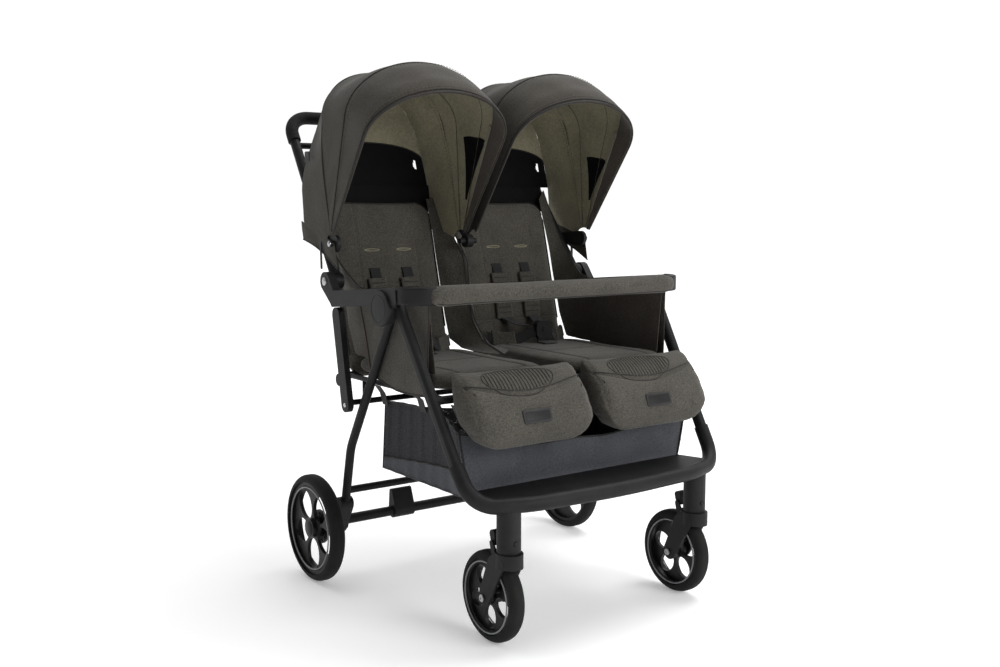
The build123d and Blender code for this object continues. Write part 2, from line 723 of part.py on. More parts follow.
# ---------------------------------------------------------------- harness buckles
with BuildPart() as buckles:
    for side, sign in SIDES:
        x0 = sign * seat_centre_x
        with BuildSketch(front_plane(x0, buckle_y - 16, buckle_z)):
            RectangleRounded(46, 40, 12)
        extrude(amount=16)
        with BuildSketch(Plane(origin=(x0, buckle_y - 16 - 1, buckle_z), z_dir=(0, 1, 0))):
            Circle(buckle_button_radius + 0.3)
        extrude(amount=7, mode=Mode.SUBTRACT)
        with BuildSketch(Plane.XY.offset(seat_top_z)):
            with Locations((x0, buckle_y - 8)):
                Rectangle(30, 4)
        extrude(amount=buckle_z - 20 - seat_top_z + 2)
save(buckles.part, "harness_buckles")
for side, sign in SIDES:
    with BuildPart() as button:
        with BuildSketch(Plane(origin=(sign * seat_centre_x, buckle_y - 18, buckle_z),
                               z_dir=(0, 1, 0))):
            Circle(buckle_button_radius)
        extrude(amount=4.5)
        fillet(button.faces().sort_by(Axis.Y)[0].edges(), 1.0)
    save(button.part, f"buckle_button_{side}")

# ---------------------------------------------------------------- bumper bar
bumper_points = [(-bumper_arm_x, armrest_front_y + socket_depth - 1, bumper_z),
                 (-bumper_arm_x, bumper_y, bumper_z), (bumper_arm_x, bumper_y, bumper_z),
                 (bumper_arm_x, armrest_front_y + socket_depth - 1, bumper_z)]
with BuildPart() as bumper_tube:
    with BuildLine():
        FilletPolyline(*bumper_points, radius=bumper_corner)
    with BuildSketch(start_plane(bumper_points)):
        Circle(bumper_tube_radius)
    sweep()
    for sign in (-1, 1):        # a flat moulded elbow hides each corner, from the armrest to the pad
        elbow_points = [(sign * bumper_arm_x, armrest_front_y - 2.5, bumper_z),
                        (sign * bumper_arm_x, bumper_y, bumper_z),
                        (sign * (bumper_pad_half_width + 1.5), bumper_y, bumper_z)]
        with BuildLine(mode=Mode.PRIVATE) as elbow_line:
            FilletPolyline(*elbow_points, radius=bumper_corner)
        with BuildSketch(start_plane(elbow_points)) as elbow_section:
            RectangleRounded(elbow_height, elbow_thickness, 4)
        sweep(elbow_section.sketch, path=elbow_line.wire())
save(bumper_tube.part, "bumper_tube")
with BuildPart() as bumper_pad:
    with BuildSketch(side_plane(-bumper_pad_half_width, bumper_y, bumper_z)):
        Ellipse(bumper_pad_radius - 3, bumper_pad_radius)
        Circle(bumper_tube_radius, mode=Mode.SUBTRACT)
    extrude(amount=bumper_pad_half_width * 2)
save(bumper_pad.part, "bumper_pad")

# ---------------------------------------------------------------- basket
with BuildPart() as basket:
    with BuildSketch(side_plane(-basket_half_width)):
        with BuildLine():
            Polyline((basket_front_y, basket_floor_z), (basket_rear_y, basket_floor_z),
                     (basket_rear_y - 14, basket_rear_top), (basket_front_y, basket_front_top),
                     close=True)
        make_face()
    extrude(amount=2 * basket_half_width)
    with BuildSketch(side_plane(-basket_half_width + basket_wall)):
        with BuildLine():
            Polyline((basket_front_y + basket_wall, basket_floor_z + basket_wall),
                     (basket_rear_y - basket_wall - 1.2, basket_floor_z + basket_wall),
                     (basket_rear_y - basket_wall - 1.2, basket_floor_z + basket_wall + 12),
                     (basket_rear_y - 14 - basket_wall, basket_rear_top + 10),
                     (basket_front_y + basket_wall, basket_rear_top + 10), close=True)
        make_face()
    extrude(amount=2 * (basket_half_width - basket_wall), mode=Mode.SUBTRACT)
save(basket.part, "basket")
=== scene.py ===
import math
import bpy
from mathutils import Matrix, Vector
from mathutils.bvhtree import BVHTree


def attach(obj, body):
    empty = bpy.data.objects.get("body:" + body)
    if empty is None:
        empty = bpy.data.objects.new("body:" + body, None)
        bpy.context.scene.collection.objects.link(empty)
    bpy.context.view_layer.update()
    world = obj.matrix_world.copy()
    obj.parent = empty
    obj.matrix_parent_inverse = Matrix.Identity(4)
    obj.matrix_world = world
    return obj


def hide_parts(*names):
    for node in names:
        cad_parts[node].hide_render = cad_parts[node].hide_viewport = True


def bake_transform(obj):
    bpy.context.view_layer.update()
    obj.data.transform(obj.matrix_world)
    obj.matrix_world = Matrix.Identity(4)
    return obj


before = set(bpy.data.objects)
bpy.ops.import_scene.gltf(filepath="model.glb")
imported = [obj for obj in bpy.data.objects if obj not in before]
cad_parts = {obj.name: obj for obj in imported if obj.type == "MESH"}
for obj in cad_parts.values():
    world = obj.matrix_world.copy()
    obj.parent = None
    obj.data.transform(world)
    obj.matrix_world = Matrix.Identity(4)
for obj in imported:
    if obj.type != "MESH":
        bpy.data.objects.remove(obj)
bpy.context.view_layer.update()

# %% [markdown]
# A side-by-side twin stroller: a dark tube frame on four wheels, two padded seats with leg rests,
# two hoods, a bumper bar and a basket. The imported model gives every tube, wheel and hinge at its
# real size. This lesson gives them their finishes and makes the cloth, padding and trim around
# them. Sizes on the object are millimetres, turned to metres where a point is made;
# the lights and the camera are placed in metres.

# %% Sizes shared by several pieces
MM = 0.001
SIDES = (("left", -1), ("right", 1))
CLIP_Y, CLIP_Z = 125.0, 742.0            # the axis of the hood's clips
HOOD_X, HOOD_HALF = 180.0, 167.0
HOOD_CROWN, HOOD_SHOULDER, HOOD_APEX = 383.0, 268.0, 26.0
SEAT_X, SEAT_HALF = 165.0, 140.0
PIVOT_Y, PIVOT_Z = 148.0, 459.0          # the seat back's hinge
LEAN = math.radians(14.5)
REAR_AXLE = (203.0, 117.0)               # (y, z) of each axle and of the folding hub
FRONT_AXLE = (-312.0, 88.0)
HUB = (-100.0, 624.0)
CASTER_X = 241.0


def mm(x, y, z):
    """A point given in millimetres, in metres."""
    return Vector((x * MM, y * MM, z * MM))


# %% [markdown]
# Every finish is built from nodes. One function turns a hex colour to the linear values that
# sockets take, and one adds a node, sets it up and links its inputs.

# %% Colour and node helpers
def hex_colour(code):
    """An sRGB hex colour as linear RGBA."""
    channels = [int(code[i:i + 2], 16) / 255 for i in (1, 3, 5)]
    return (*[c / 12.92 if c <= 0.04045 else ((c + 0.055) / 1.055) ** 2.4 for c in channels], 1.0)


def add_node(material, kind, inputs=None, **settings):
    """Adds a node; an input is either a value or the output socket to link to it."""
    made = material.node_tree.nodes.new(kind)
    for key, value in settings.items():
        setattr(made, key, value)
    for socket, value in (inputs or {}).items():
        if isinstance(value, bpy.types.NodeSocket):
            material.node_tree.links.new(value, made.inputs[socket])
        else:
            made.inputs[socket].default_value = value
    return made


def start_material(name):
    """A new material with its shader node and Object coordinates."""
    material = bpy.data.materials.new(name)
    material.use_nodes = True
    shader = material.node_tree.nodes["Principled BSDF"]
    place = add_node(material, "ShaderNodeTexCoord").outputs["Object"]
    return material, shader, place


def blotches(material, place, size_mm, low, high, detail=2.0):
    """A soft random pattern of that grain size, mapped between two values."""
    noise = add_node(material, "ShaderNodeTexNoise",
                     {"Vector": place, "Scale": 1000.0 / size_mm, "Detail": detail})
    spread = add_node(material, "ShaderNodeMapRange",
                      {"Value": noise.outputs["Fac"], "From Min": 0.32, "From Max": 0.68,
                       "To Min": low, "To Max": high})
    return spread.outputs["Result"]


def link(material, output, shader, socket):
    material.node_tree.links.new(output, shader.inputs[socket])


# %% [markdown]
# The cover cloth is a woven polyester melange: dark and light olive threads spun together, so the
# colour flickers from thread to thread and the surface is matt with a faint fuzz. Real threads
# are about 0.5 mm, too fine to show, so the fleck is drawn about 2.5 mm across.

# %% Woven cloths
def woven_cloth(name, dark, light, fleck_mm=2.6, rough=0.92, bump=0.35, thread_mm=2.2):
    material, shader, place = start_material(name)
    fleck = blotches(material, place, fleck_mm, 0.0, 1.0, 3.0)
    cloud = blotches(material, place, 60.0, 0.88, 1.08)
    mixed = add_node(material, "ShaderNodeMix", {"Factor": fleck, 6: hex_colour(dark),
                                                 7: hex_colour(light)}, data_type="RGBA")
    toned = add_node(material, "ShaderNodeVectorMath", {0: mixed.outputs[2], 1: (1, 1, 1)},
                     operation="SCALE")
    material.node_tree.links.new(cloud, toned.inputs["Scale"])
    link(material, toned.outputs["Vector"], shader, "Base Color")
    weave = [add_node(material, "ShaderNodeTexWave", {"Vector": place, "Scale": 314.0 / thread_mm,
                                                      "Distortion": 0.6}, bands_direction=axis)
             for axis in ("X", "Y", "Z")]
    over = add_node(material, "ShaderNodeMath", {0: weave[0].outputs["Fac"],
                                                 1: weave[1].outputs["Fac"]}, operation="ADD")
    both = add_node(material, "ShaderNodeMath", {0: over.outputs[0],
                                                 1: weave[2].outputs["Fac"]}, operation="ADD")
    height = add_node(material, "ShaderNodeMath", {0: both.outputs[0], 1: fleck}, operation="ADD")
    bumped = add_node(material, "ShaderNodeBump", {"Strength": bump, "Distance": 0.0006,
                                                   "Height": height.outputs[0]})
    link(material, bumped.outputs["Normal"], shader, "Normal")
    shader.inputs["Roughness"].default_value = rough
    shader.inputs["Sheen Weight"].default_value = 0.12
    shader.inputs["Sheen Roughness"].default_value = 0.5
    shader.inputs["Specular IOR Level"].default_value = 0.25
    return material


cover_cloth = woven_cloth("polyester_melange_olive", "#33312C", "#4F4C45")
hood_cloth = woven_cloth("polyester_melange_hood", "#2B2823", "#3F3B33", bump=0.28)
lining_cloth = woven_cloth("polyester_lining_olive", "#7B7763", "#8E8974", 5.0, 0.88, 0.12, 1.8)
# a darker copy of the cloth: the visor's own dark fabric, and painted shade on the outer wings' front part
dark_and_painted_shade_cloth = woven_cloth("polyester_dark_and_painted_shade", "#37322E", "#4A443E", 3.0, 0.95, 0.2)
piping_cloth = woven_cloth("bias_binding_dark", "#1B1916", "#292622", 1.8, 0.8, 0.2, 1.5)
elastic_cloth = woven_cloth("knitted_elastic_grey", "#6F6C60", "#8A8675", 1.6, 0.85, 0.3, 1.4)
webbing_cloth = woven_cloth("polyester_webbing_black", "#121212", "#1F1F20", 1.6, 0.6, 0.5, 1.6)
basket_cloth = woven_cloth("basket_canvas_slate", "#393A3E", "#4B4D52", 2.4, 0.88, 0.25, 2.0)
thread_cloth = woven_cloth("sewing_thread_olive", "#3E3B35", "#57534B", 1.2, 0.7, 0.1, 1.0)

# %% [markdown]
# The basket's sides and the hood's vents are knitted mesh: black yarn with small round holes.
# Holes of a millimetre can't be seen one by one, so they are drawn on a 4 mm grid, and the
# surface lets light through in the middle of each cell.

# %% Knitted mesh
def knitted_mesh(name, dark, light, cell_mm, open_share):
    material, shader, place = start_material(name)
    cells = add_node(material, "ShaderNodeTexVoronoi", {"Vector": place, "Scale": 1000.0 / cell_mm,
                                                        "Randomness": 0.35})
    yarn = add_node(material, "ShaderNodeMapRange",
                    {"Value": cells.outputs["Distance"], "From Min": open_share - 0.06,
                     "From Max": open_share + 0.06, "To Min": 0.0, "To Max": 1.0})
    mixed = add_node(material, "ShaderNodeMix", {"Factor": cells.outputs["Distance"],
                                                 6: hex_colour(dark), 7: hex_colour(light)},
                     data_type="RGBA")
    link(material, mixed.outputs[2], shader, "Base Color")
    link(material, yarn.outputs["Result"], shader, "Alpha")
    shader.inputs["Roughness"].default_value = 0.85
    shader.inputs["Specular IOR Level"].default_value = 0.15
    return material


basket_mesh = knitted_mesh("polyester_mesh_black", "#2A2A2C", "#454548", 4.0, 0.2)
vent_mesh = knitted_mesh("polyester_vent_mesh", "#020203", "#08080A", 4.0, 0.04)

# %% [markdown]
# The hard finishes: powder-coated tube has a fine orange-peel surface with a soft broad shine;
# moulded nylon is a little rougher, with a spark-eroded grain; tyres are matt foamed rubber;
# rivets and pins are bright steel.

# %% Hard finishes
def hard_finish(name, dark, light, grain_mm, rough_low, rough_high, bump, metallic=0.0, shine=0.2):
    material, shader, place = start_material(name)
    tone = blotches(material, place, 45.0, 0.0, 1.0)
    grain = blotches(material, place, grain_mm, 0.0, 1.0)
    mixed = add_node(material, "ShaderNodeMix", {"Factor": tone, 6: hex_colour(dark),
                                                 7: hex_colour(light)}, data_type="RGBA")
    link(material, mixed.outputs[2], shader, "Base Color")
    rough = add_node(material, "ShaderNodeMapRange", {"Value": grain, "To Min": rough_low,
                                                      "To Max": rough_high})
    link(material, rough.outputs["Result"], shader, "Roughness")
    bumped = add_node(material, "ShaderNodeBump", {"Strength": bump, "Distance": 0.0002,
                                                   "Height": grain})
    link(material, bumped.outputs["Normal"], shader, "Normal")
    shader.inputs["Metallic"].default_value = metallic
    shader.inputs["Specular IOR Level"].default_value = 0.5 if metallic else shine
    return material


powder_coat = hard_finish("powder_coated_tube", "#171718", "#1E1E1F", 2.0, 0.46, 0.58, 0.25, shine=0.16)
moulded_nylon = hard_finish("moulded_nylon_black", "#161617", "#1E1E1F", 1.6, 0.48, 0.6, 0.35)
wheel_nylon = hard_finish("moulded_nylon_wheel", "#151515", "#1D1D1D", 2.0, 0.38, 0.5, 0.3)
tyre_rubber = hard_finish("foamed_rubber_tyre", "#151515", "#1D1D1C", 1.5, 0.72, 0.86, 0.4)
grip_foam = hard_finish("foam_grip_black", "#121212", "#1A1A1A", 1.8, 0.7, 0.85, 0.8)
steel = hard_finish("bright_steel_rivet", "#9C9C9E", "#B4B4B6", 1.4, 0.22, 0.34, 0.1, 1.0)
ring_paint = hard_finish("grey_trim_ring", "#77787A", "#858688", 3.0, 0.4, 0.5, 0.05)
patch_rubber = hard_finish("moulded_rubber_patch", "#2B2B2C", "#353536", 1.6, 0.6, 0.75, 0.3)

for node, finish in (
        [(f"rear_tyre_{s}", tyre_rubber) for s, _ in SIDES]
        + [(f"front_tyre_{s}", tyre_rubber) for s, _ in SIDES]
        + [(f"{n}_{s}", wheel_nylon) for n in ("rear_rim", "front_rim") for s, _ in SIDES]
        + [(f"{n}_{s}", moulded_nylon) for s, _ in SIDES for n in (
            "caster_fork", "caster_housing", "wheel_release", "swivel_lock", "bumper_release",
            "buckle_button")]
        + [(n, moulded_nylon) for n in ("armrests", "hub_covers", "side_links", "rear_brackets",
                                        "brake_pedal", "canopy_clips", "harness_buckles")]
        + [(f"{n}_{s}", steel) for n in ("front_axle", "brake_pin") for s, _ in SIDES]
        + [("rear_axles", steel), ("hub_pins", steel), ("handle_grip", grip_foam)]
        + [(f"rear_leg_{s}", powder_coat) for s, _ in SIDES]
        + [(n, powder_coat) for n in ("front_bar", "front_legs", "upper_cross_tube", "axle_tube",
                                      "pusher_tube", "handle_brace", "seat_frame", "bumper_tube")]):
    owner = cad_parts[node]
    if not owner.material_slots:
        owner.data.materials.append(finish)
    for material_slot in owner.material_slots:
        material_slot.material = finish
print("CAD pieces finished:", len(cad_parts))


# %% [markdown]
# Modelling helpers. Each starts from a primitive, shapes it in edit mode or by moving its points,
# and hands it on to one function that names it, gives it its material and hangs it on its body.

# %% Modelling helpers
def select_only(obj):
    bpy.ops.object.select_all(action="DESELECT")
    obj.select_set(True)
    bpy.context.view_layer.objects.active = obj


def in_edit_mode(obj, *steps):
    """Runs mesh operators on the whole of a piece."""
    select_only(obj)
    bpy.ops.object.mode_set(mode="EDIT")
    bpy.ops.mesh.select_all(action="SELECT")
    for step in steps:
        step()
    bpy.ops.object.mode_set(mode="OBJECT")


def apply_modifier(obj, kind, **settings):
    select_only(obj)
    modifier = obj.modifiers.new(kind.lower(), kind)
    for key, value in settings.items():
        setattr(modifier, key, value)
    bpy.ops.object.modifier_apply(modifier=modifier.name)


def hand_on(obj, name, body, *materials, replaces=(), smooth=40):
    """Names a finished piece, gives it its materials and hangs it on its body."""
    obj.name = name
    obj.data.name = name
    select_only(obj)
    bpy.ops.object.transform_apply(location=True, rotation=True, scale=True)
    if not obj.data.materials:
        for material in materials:
            obj.data.materials.append(material)
    bpy.ops.object.shade_smooth_by_angle(angle=math.radians(smooth))
    if body:
        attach(obj, body)
    if replaces:
        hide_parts(*replaces)
    return obj


def grid_sheet(place, across, along):
    """A grid whose points are carried to place(u, v), u and v running from 0 to 1."""
    bpy.ops.object.select_all(action="DESELECT")
    bpy.ops.mesh.primitive_grid_add(x_subdivisions=across, y_subdivisions=along, size=1)
    made = bpy.context.object
    for vertex in made.data.vertices:
        vertex.co = place(vertex.co.x + 0.5, vertex.co.y + 0.5)
    return made


def face_away(obj, point):
    """Turns an open sheet's faces so that on the whole they look away from a point."""
    score = sum((f.center - point).dot(f.normal) * f.area for f in obj.data.polygons)
    if score < 0:
        in_edit_mode(obj, bpy.ops.mesh.flip_normals)


def thicken(obj, thickness_mm, lined=False):
    apply_modifier(obj, "SOLIDIFY", thickness=thickness_mm * MM, offset=-1.0,
                   material_offset=1 if lined else 0)


def cloth_piece(name, body, place, cells, materials, thickness_mm, inside=None,
                replaces=(), smooth=40):
    """A sheet bent to place(u, v), thickened and hung on its body."""
    made = grid_sheet(place, *cells)
    if inside is not None:
        face_away(made, inside)
    for material in materials:
        made.data.materials.append(material)
    thicken(made, thickness_mm, lined=len(materials) > 1)
    hand_on(made, name, body, replaces=replaces, smooth=smooth)
    return made


def line_piece(name, paths, radius_mm, body, material, smooth=True, closed=False):
    """Round cord or tube along one or more paths of points, made a mesh."""
    bpy.ops.object.select_all(action="DESELECT")
    bpy.ops.curve.primitive_nurbs_path_add()
    made = bpy.context.object
    made.data.splines.clear()
    for points in paths:
        spline = made.data.splines.new("NURBS" if smooth else "POLY")
        spline.points.add(len(points) - 1)
        for target, point in zip(spline.points, points):
            target.co = (*point, 1.0)
        if smooth:
            spline.order_u = 3
            spline.use_endpoint_u = not closed
        spline.use_cyclic_u = closed
        spline.resolution_u = 3
    made.data.bevel_depth = radius_mm * MM
    made.data.bevel_resolution = 2 if radius_mm > 1 else 0
    made.data.use_fill_caps = True
    bpy.ops.object.convert(target="MESH")
    made = bpy.context.object
    in_edit_mode(made, lambda: bpy.ops.mesh.normals_make_consistent(inside=False))
    return hand_on(made, name, body, material)


def dashes(points, dash_mm=4.5, gap_mm=3.0):
    """Splits a path into the short straight runs of a row of stitches."""
    runs, walked, pen = [], 0.0, None
    for a, b in zip(points, points[1:]):
        length = (b - a).length / MM
        steps = max(1, int(length / 1.5))
        for i in range(steps):
            here = a.lerp(b, i / steps)
            on = walked % (dash_mm + gap_mm) < dash_mm
            if on and pen is None:
                pen = here
            if not on and pen is not None:
                runs.append([pen, here])
                pen = None
            walked += length / steps
    return runs


def stitches(name, paths, body, radius_mm=0.5):
    """Rows of sewing stitches along paths of points."""
    line_piece(name, [run for path in paths for run in dashes(path)], radius_mm, body, thread_cloth,
               smooth=False)


def turned(name, profile, centre, axis, body, material, steps=48):
    """A turned piece: a closed profile of (radius, height) in millimetres spun about an axis."""
    bpy.ops.object.select_all(action="DESELECT")
    bpy.ops.mesh.primitive_circle_add(vertices=len(profile), radius=1, fill_type="NOTHING")
    made = bpy.context.object
    turn = Vector(axis).to_track_quat("Z", "Y").to_matrix()
    for vertex, (radius, height) in zip(made.data.vertices, profile):
        vertex.co = centre + turn @ Vector((radius * MM, 0, height * MM))
    in_edit_mode(made,
                 lambda: bpy.ops.mesh.spin(steps=steps, angle=math.tau, center=centre, axis=axis),
                 lambda: bpy.ops.mesh.select_all(action="SELECT"),
                 lambda: bpy.ops.mesh.remove_doubles(threshold=0.00002),
                 lambda: bpy.ops.mesh.normals_make_consistent(inside=False))
    return hand_on(made, name, body, material)


def soft_block(name, size, corners, rounding, centre, turn, body, material):
    """A small block with rounded corners: its upright edges first, then all its edges."""
    bpy.ops.object.select_all(action="DESELECT")
    bpy.ops.mesh.primitive_cube_add(size=1)
    made = bpy.context.object
    made.scale = Vector(size) * MM
    bpy.ops.object.transform_apply(scale=True)
    upright = made.modifiers.new("corners", "BEVEL")
    upright.limit_method, upright.width, upright.segments = "WEIGHT", corners * MM, 6
    weights = made.data.attributes.new("bevel_weight_edge", "FLOAT", "EDGE")
    for edge in made.data.edges:
        a, b = (made.data.vertices[i].co for i in edge.vertices)
        weights.data[edge.index].value = 1.0 if abs(a.z - b.z) > size[2] * MM * 0.5 else 0.0
    bpy.ops.object.modifier_apply(modifier=upright.name)
    apply_modifier(made, "BEVEL", width=rounding * MM, segments=3, limit_method="ANGLE",
                   angle_limit=math.radians(50))
    made.matrix_world = Matrix.Translation(centre) @ turn.to_4x4()
    return hand_on(made, name, body, material)


# %% [markdown]
# A hood is one cloth skin over three bows that turn on clips beside the seat. The skin is modelled
# as three leaves, so that each rides on its own bow: the front leaf laps over the middle one and
# the middle one over the rear, as a folding hood does. Seen along the cloth a bow has straight
# legs and an elliptical crown.

# %% The bow's outline
def bow_outline():
    """Even steps along a bow from its outer foot to its inner foot: (sideways -1..1, radius)."""
    dense = [(-1.0, HOOD_APEX + (HOOD_SHOULDER - HOOD_APEX) * i / 60) for i in range(60)]
    dense += [(-math.cos(math.pi * i / 120),
               HOOD_SHOULDER + (HOOD_CROWN - HOOD_SHOULDER) * math.sin(math.pi * i / 120))
              for i in range(121)]
    dense += [(1.0, HOOD_SHOULDER - (HOOD_SHOULDER - HOOD_APEX) * i / 60) for i in range(1, 61)]
    walked = [0.0]
    for (xa, ra), (xb, rb) in zip(dense, dense[1:]):
        walked.append(walked[-1] + math.hypot((xb - xa) * HOOD_HALF, rb - ra))
    return dense, walked


BOW, BOW_WALKED = bow_outline()


def bow_at(u):
    """The bow's (sideways, radius) at a share u of its length."""
    target = min(max(u, 0.0), 1.0) * BOW_WALKED[-1]
    for i in range(len(BOW) - 1):
        if BOW_WALKED[i + 1] >= target:
            share = (target - BOW_WALKED[i]) / (BOW_WALKED[i + 1] - BOW_WALKED[i])
            return tuple(a + (b - a) * share for a, b in zip(BOW[i], BOW[i + 1]))
    return BOW[-1]


def crown_radius(degrees):
    """How far the skin stands from the clips at the crown: the bows lift it into two humps."""
    knots = ((-36.5, 374), (-29, 384), (-20, 390), (-11, 382), (3.5, 367), (8, 373), (13, 382),
             (22, 380), (40, 378), (80, 378))
    for (a, ra), (b, rb) in zip(knots, knots[1:]):
        if degrees <= b:
            share = max(0.0, (degrees - a) / (b - a))
            share = share * share * (3 - 2 * share)
            return ra + (rb - ra) * share
    return knots[-1][1]


def hood_point(centre_x, sideways, radius, degrees, inset=0.0, pull=0.0):
    """A point of the hood's skin; inset moves it towards the inside and pull draws it in."""
    reach = radius + (crown_radius(degrees) - HOOD_CROWN) * (radius / HOOD_CROWN) ** 2
    reach -= inset * min(1.0, (radius / HOOD_CROWN) ** 2 + 0.1) + pull * (radius / HOOD_CROWN)
    angle = math.radians(degrees)
    return mm(centre_x + sideways * (HOOD_HALF - inset - pull * 0.6), CLIP_Y + reach * math.sin(angle),
              CLIP_Z + reach * math.cos(angle))


def rear_wall_y(z):
    return 286.0 - 0.095 * (1090.0 - z)


def rear_end(sideways, radius, inset):
    """The angle at which a line of the rear leaf meets the upright rear wall."""
    degrees = 74.0
    while degrees > 5:
        point = hood_point(0, sideways, radius, degrees, inset)
        if point.y / MM <= rear_wall_y(point.z / MM):
            return degrees
        degrees -= 0.5
    return degrees


def ease(value):
    value = min(1.0, max(0.0, value))
    return value * value * (3 - 2 * value)


def soften(point, centre_x):
    """Rounds the hood's rear shoulders, where no bow holds the cloth out."""
    x, y, z = point / MM
    aside = (x - centre_x) / (HOOD_HALF - 5.4)
    give = ease((y - 132) / 150) * ease((z - 850) / 190)
    return mm(x - 42 * give * aside * abs(aside) ** 1.5, y - 20 * give * abs(aside) ** 2.5, z)


print("bow length", round(BOW_WALKED[-1]), "mm")

# %% [markdown]
# Each leaf is a grid bent over its bows. Between two bows tight cloth draws in a little, and small
# waves run out from the clips, where the cloth is gathered.

# %% Hood leaves
LEAVES = (("front", -36.0, -13.8, 0.0, "canopy_front_{}"),
          ("middle", -17.0, 7.2, 2.7, "canopy_middle_{}"))
HOOD_LAYERS, HOOD_THICK = (hood_cloth, lining_cloth), 1.2
for side, sign in SIDES:
    hood_x = sign * HOOD_X
    inside = mm(hood_x, CLIP_Y + 10, CLIP_Z + 120)
    for leaf, start, end, inset, body in LEAVES:
        def place(u, v):
            sideways, radius = bow_at(u)
            degrees = start + (end - start) * v
            draw_in = 2.2 * math.sin(math.pi * v) * (radius / HOOD_CROWN)
            wave = 0.7 * math.sin(u * 61 + v * 5) * math.sin(math.pi * v)
            return hood_point(hood_x, sideways, radius, degrees, inset, draw_in + wave)
        cloth_piece(f"hood_{leaf}_{side}", body.format(side), place, (120, 16), HOOD_LAYERS, HOOD_THICK,
                    inside, (f"canopy_{leaf}_{side}",))

    def rear_place(u, v):
        sideways, radius = bow_at(u)
        inset = 5.4
        stop = rear_end(sideways, radius, inset)
        degrees = 3.5 + (stop - 3.5) * v
        wave = 0.8 * math.sin(u * 47 + v * 4) * math.sin(math.pi * v)
        return soften(hood_point(hood_x, sideways, radius, degrees, inset, wave), hood_x)
    rear = cloth_piece(f"hood_rear_{side}", "pusher", rear_place, (120, 22), HOOD_LAYERS, HOOD_THICK,
                       inside, (f"canopy_rear_{side}",))

    def wall_column(u):
        """Top of the rear wall's column at a share u across, and its sideways place."""
        turn = math.pi * (u - 0.5)
        sideways = math.sin(turn)
        radius = HOOD_SHOULDER + (HOOD_CROWN - HOOD_SHOULDER) * math.cos(turn)
        return hood_point(hood_x, sideways, radius, rear_end(sideways, radius, 5.6), 5.6), turn

    def vent_edge(turn, top_z):
        return min(top_z - 8.0, 925.0 + 38.0 * math.cos(turn))

    def wall_upper(u, v):
        top, turn = wall_column(0.004 + 0.992 * u)
        z = top.z / MM + (vent_edge(turn, top.z / MM) - top.z / MM) * v
        return soften(mm(top.x / MM, rear_wall_y(z) + 5 * math.sin(math.pi * v) * math.cos(turn), z), hood_x)

    def wall_vent(u, v):
        top, turn = wall_column(0.004 + 0.992 * u)
        high = vent_edge(turn, top.z / MM)
        z = high + (866.0 - high) * v
        folds = 1.6 * math.sin(u * 40) * math.sin(math.pi * min(1.0, v * 1.3))
        return soften(mm(top.x / MM, rear_wall_y(z) + folds, z), hood_x)
    cloth_piece(f"hood_back_{side}", "pusher", wall_upper, (60, 14), HOOD_LAYERS, HOOD_THICK,
                inside)
    vent = grid_sheet(wall_vent, 90, 24)
    face_away(vent, inside)
    # the slit where the mesh is gathered onto its elastic
    in_edit_mode(vent, lambda: bpy.ops.mesh.select_mode(type="FACE"),
                 lambda: bpy.ops.mesh.select_all(action="DESELECT"))
    for face in vent.data.polygons:
        x, z = abs(face.center.x / MM - hood_x), face.center.z / MM
        face.select = ((x - 128) / 4.5) ** 2 + ((z - 915 + 0.8 * (x - 128)) / 9.0) ** 2 < 1
    bpy.ops.object.mode_set(mode="EDIT")
    bpy.ops.mesh.delete(type="FACE")
    bpy.ops.mesh.select_mode(type="VERT")
    bpy.ops.object.mode_set(mode="OBJECT")
    thicken(vent, 0.9)
    hand_on(vent, f"hood_vent_{side}", "pusher", vent_mesh)
    edge = [wall_vent(i / 40, 0.0) for i in range(41)]
    line_piece(f"hood_vent_binding_{side}", [edge], 1.9, "pusher", piping_cloth)
print("hood skins made")

# %% [markdown]
# The hood's front rim is bound with two rows of dark piping. A dark visor strip is sewn just
# inside it with a light elastic edge. The other seams are rows of stitches over each bow.

# %% Hood trim
def bow_line(centre_x, degrees, inset, count=72):
    points = [hood_point(centre_x, *bow_at(i / count), degrees, inset) for i in range(count + 1)]
    return [soften(point, centre_x) for point in points] if degrees > 3.5 else points


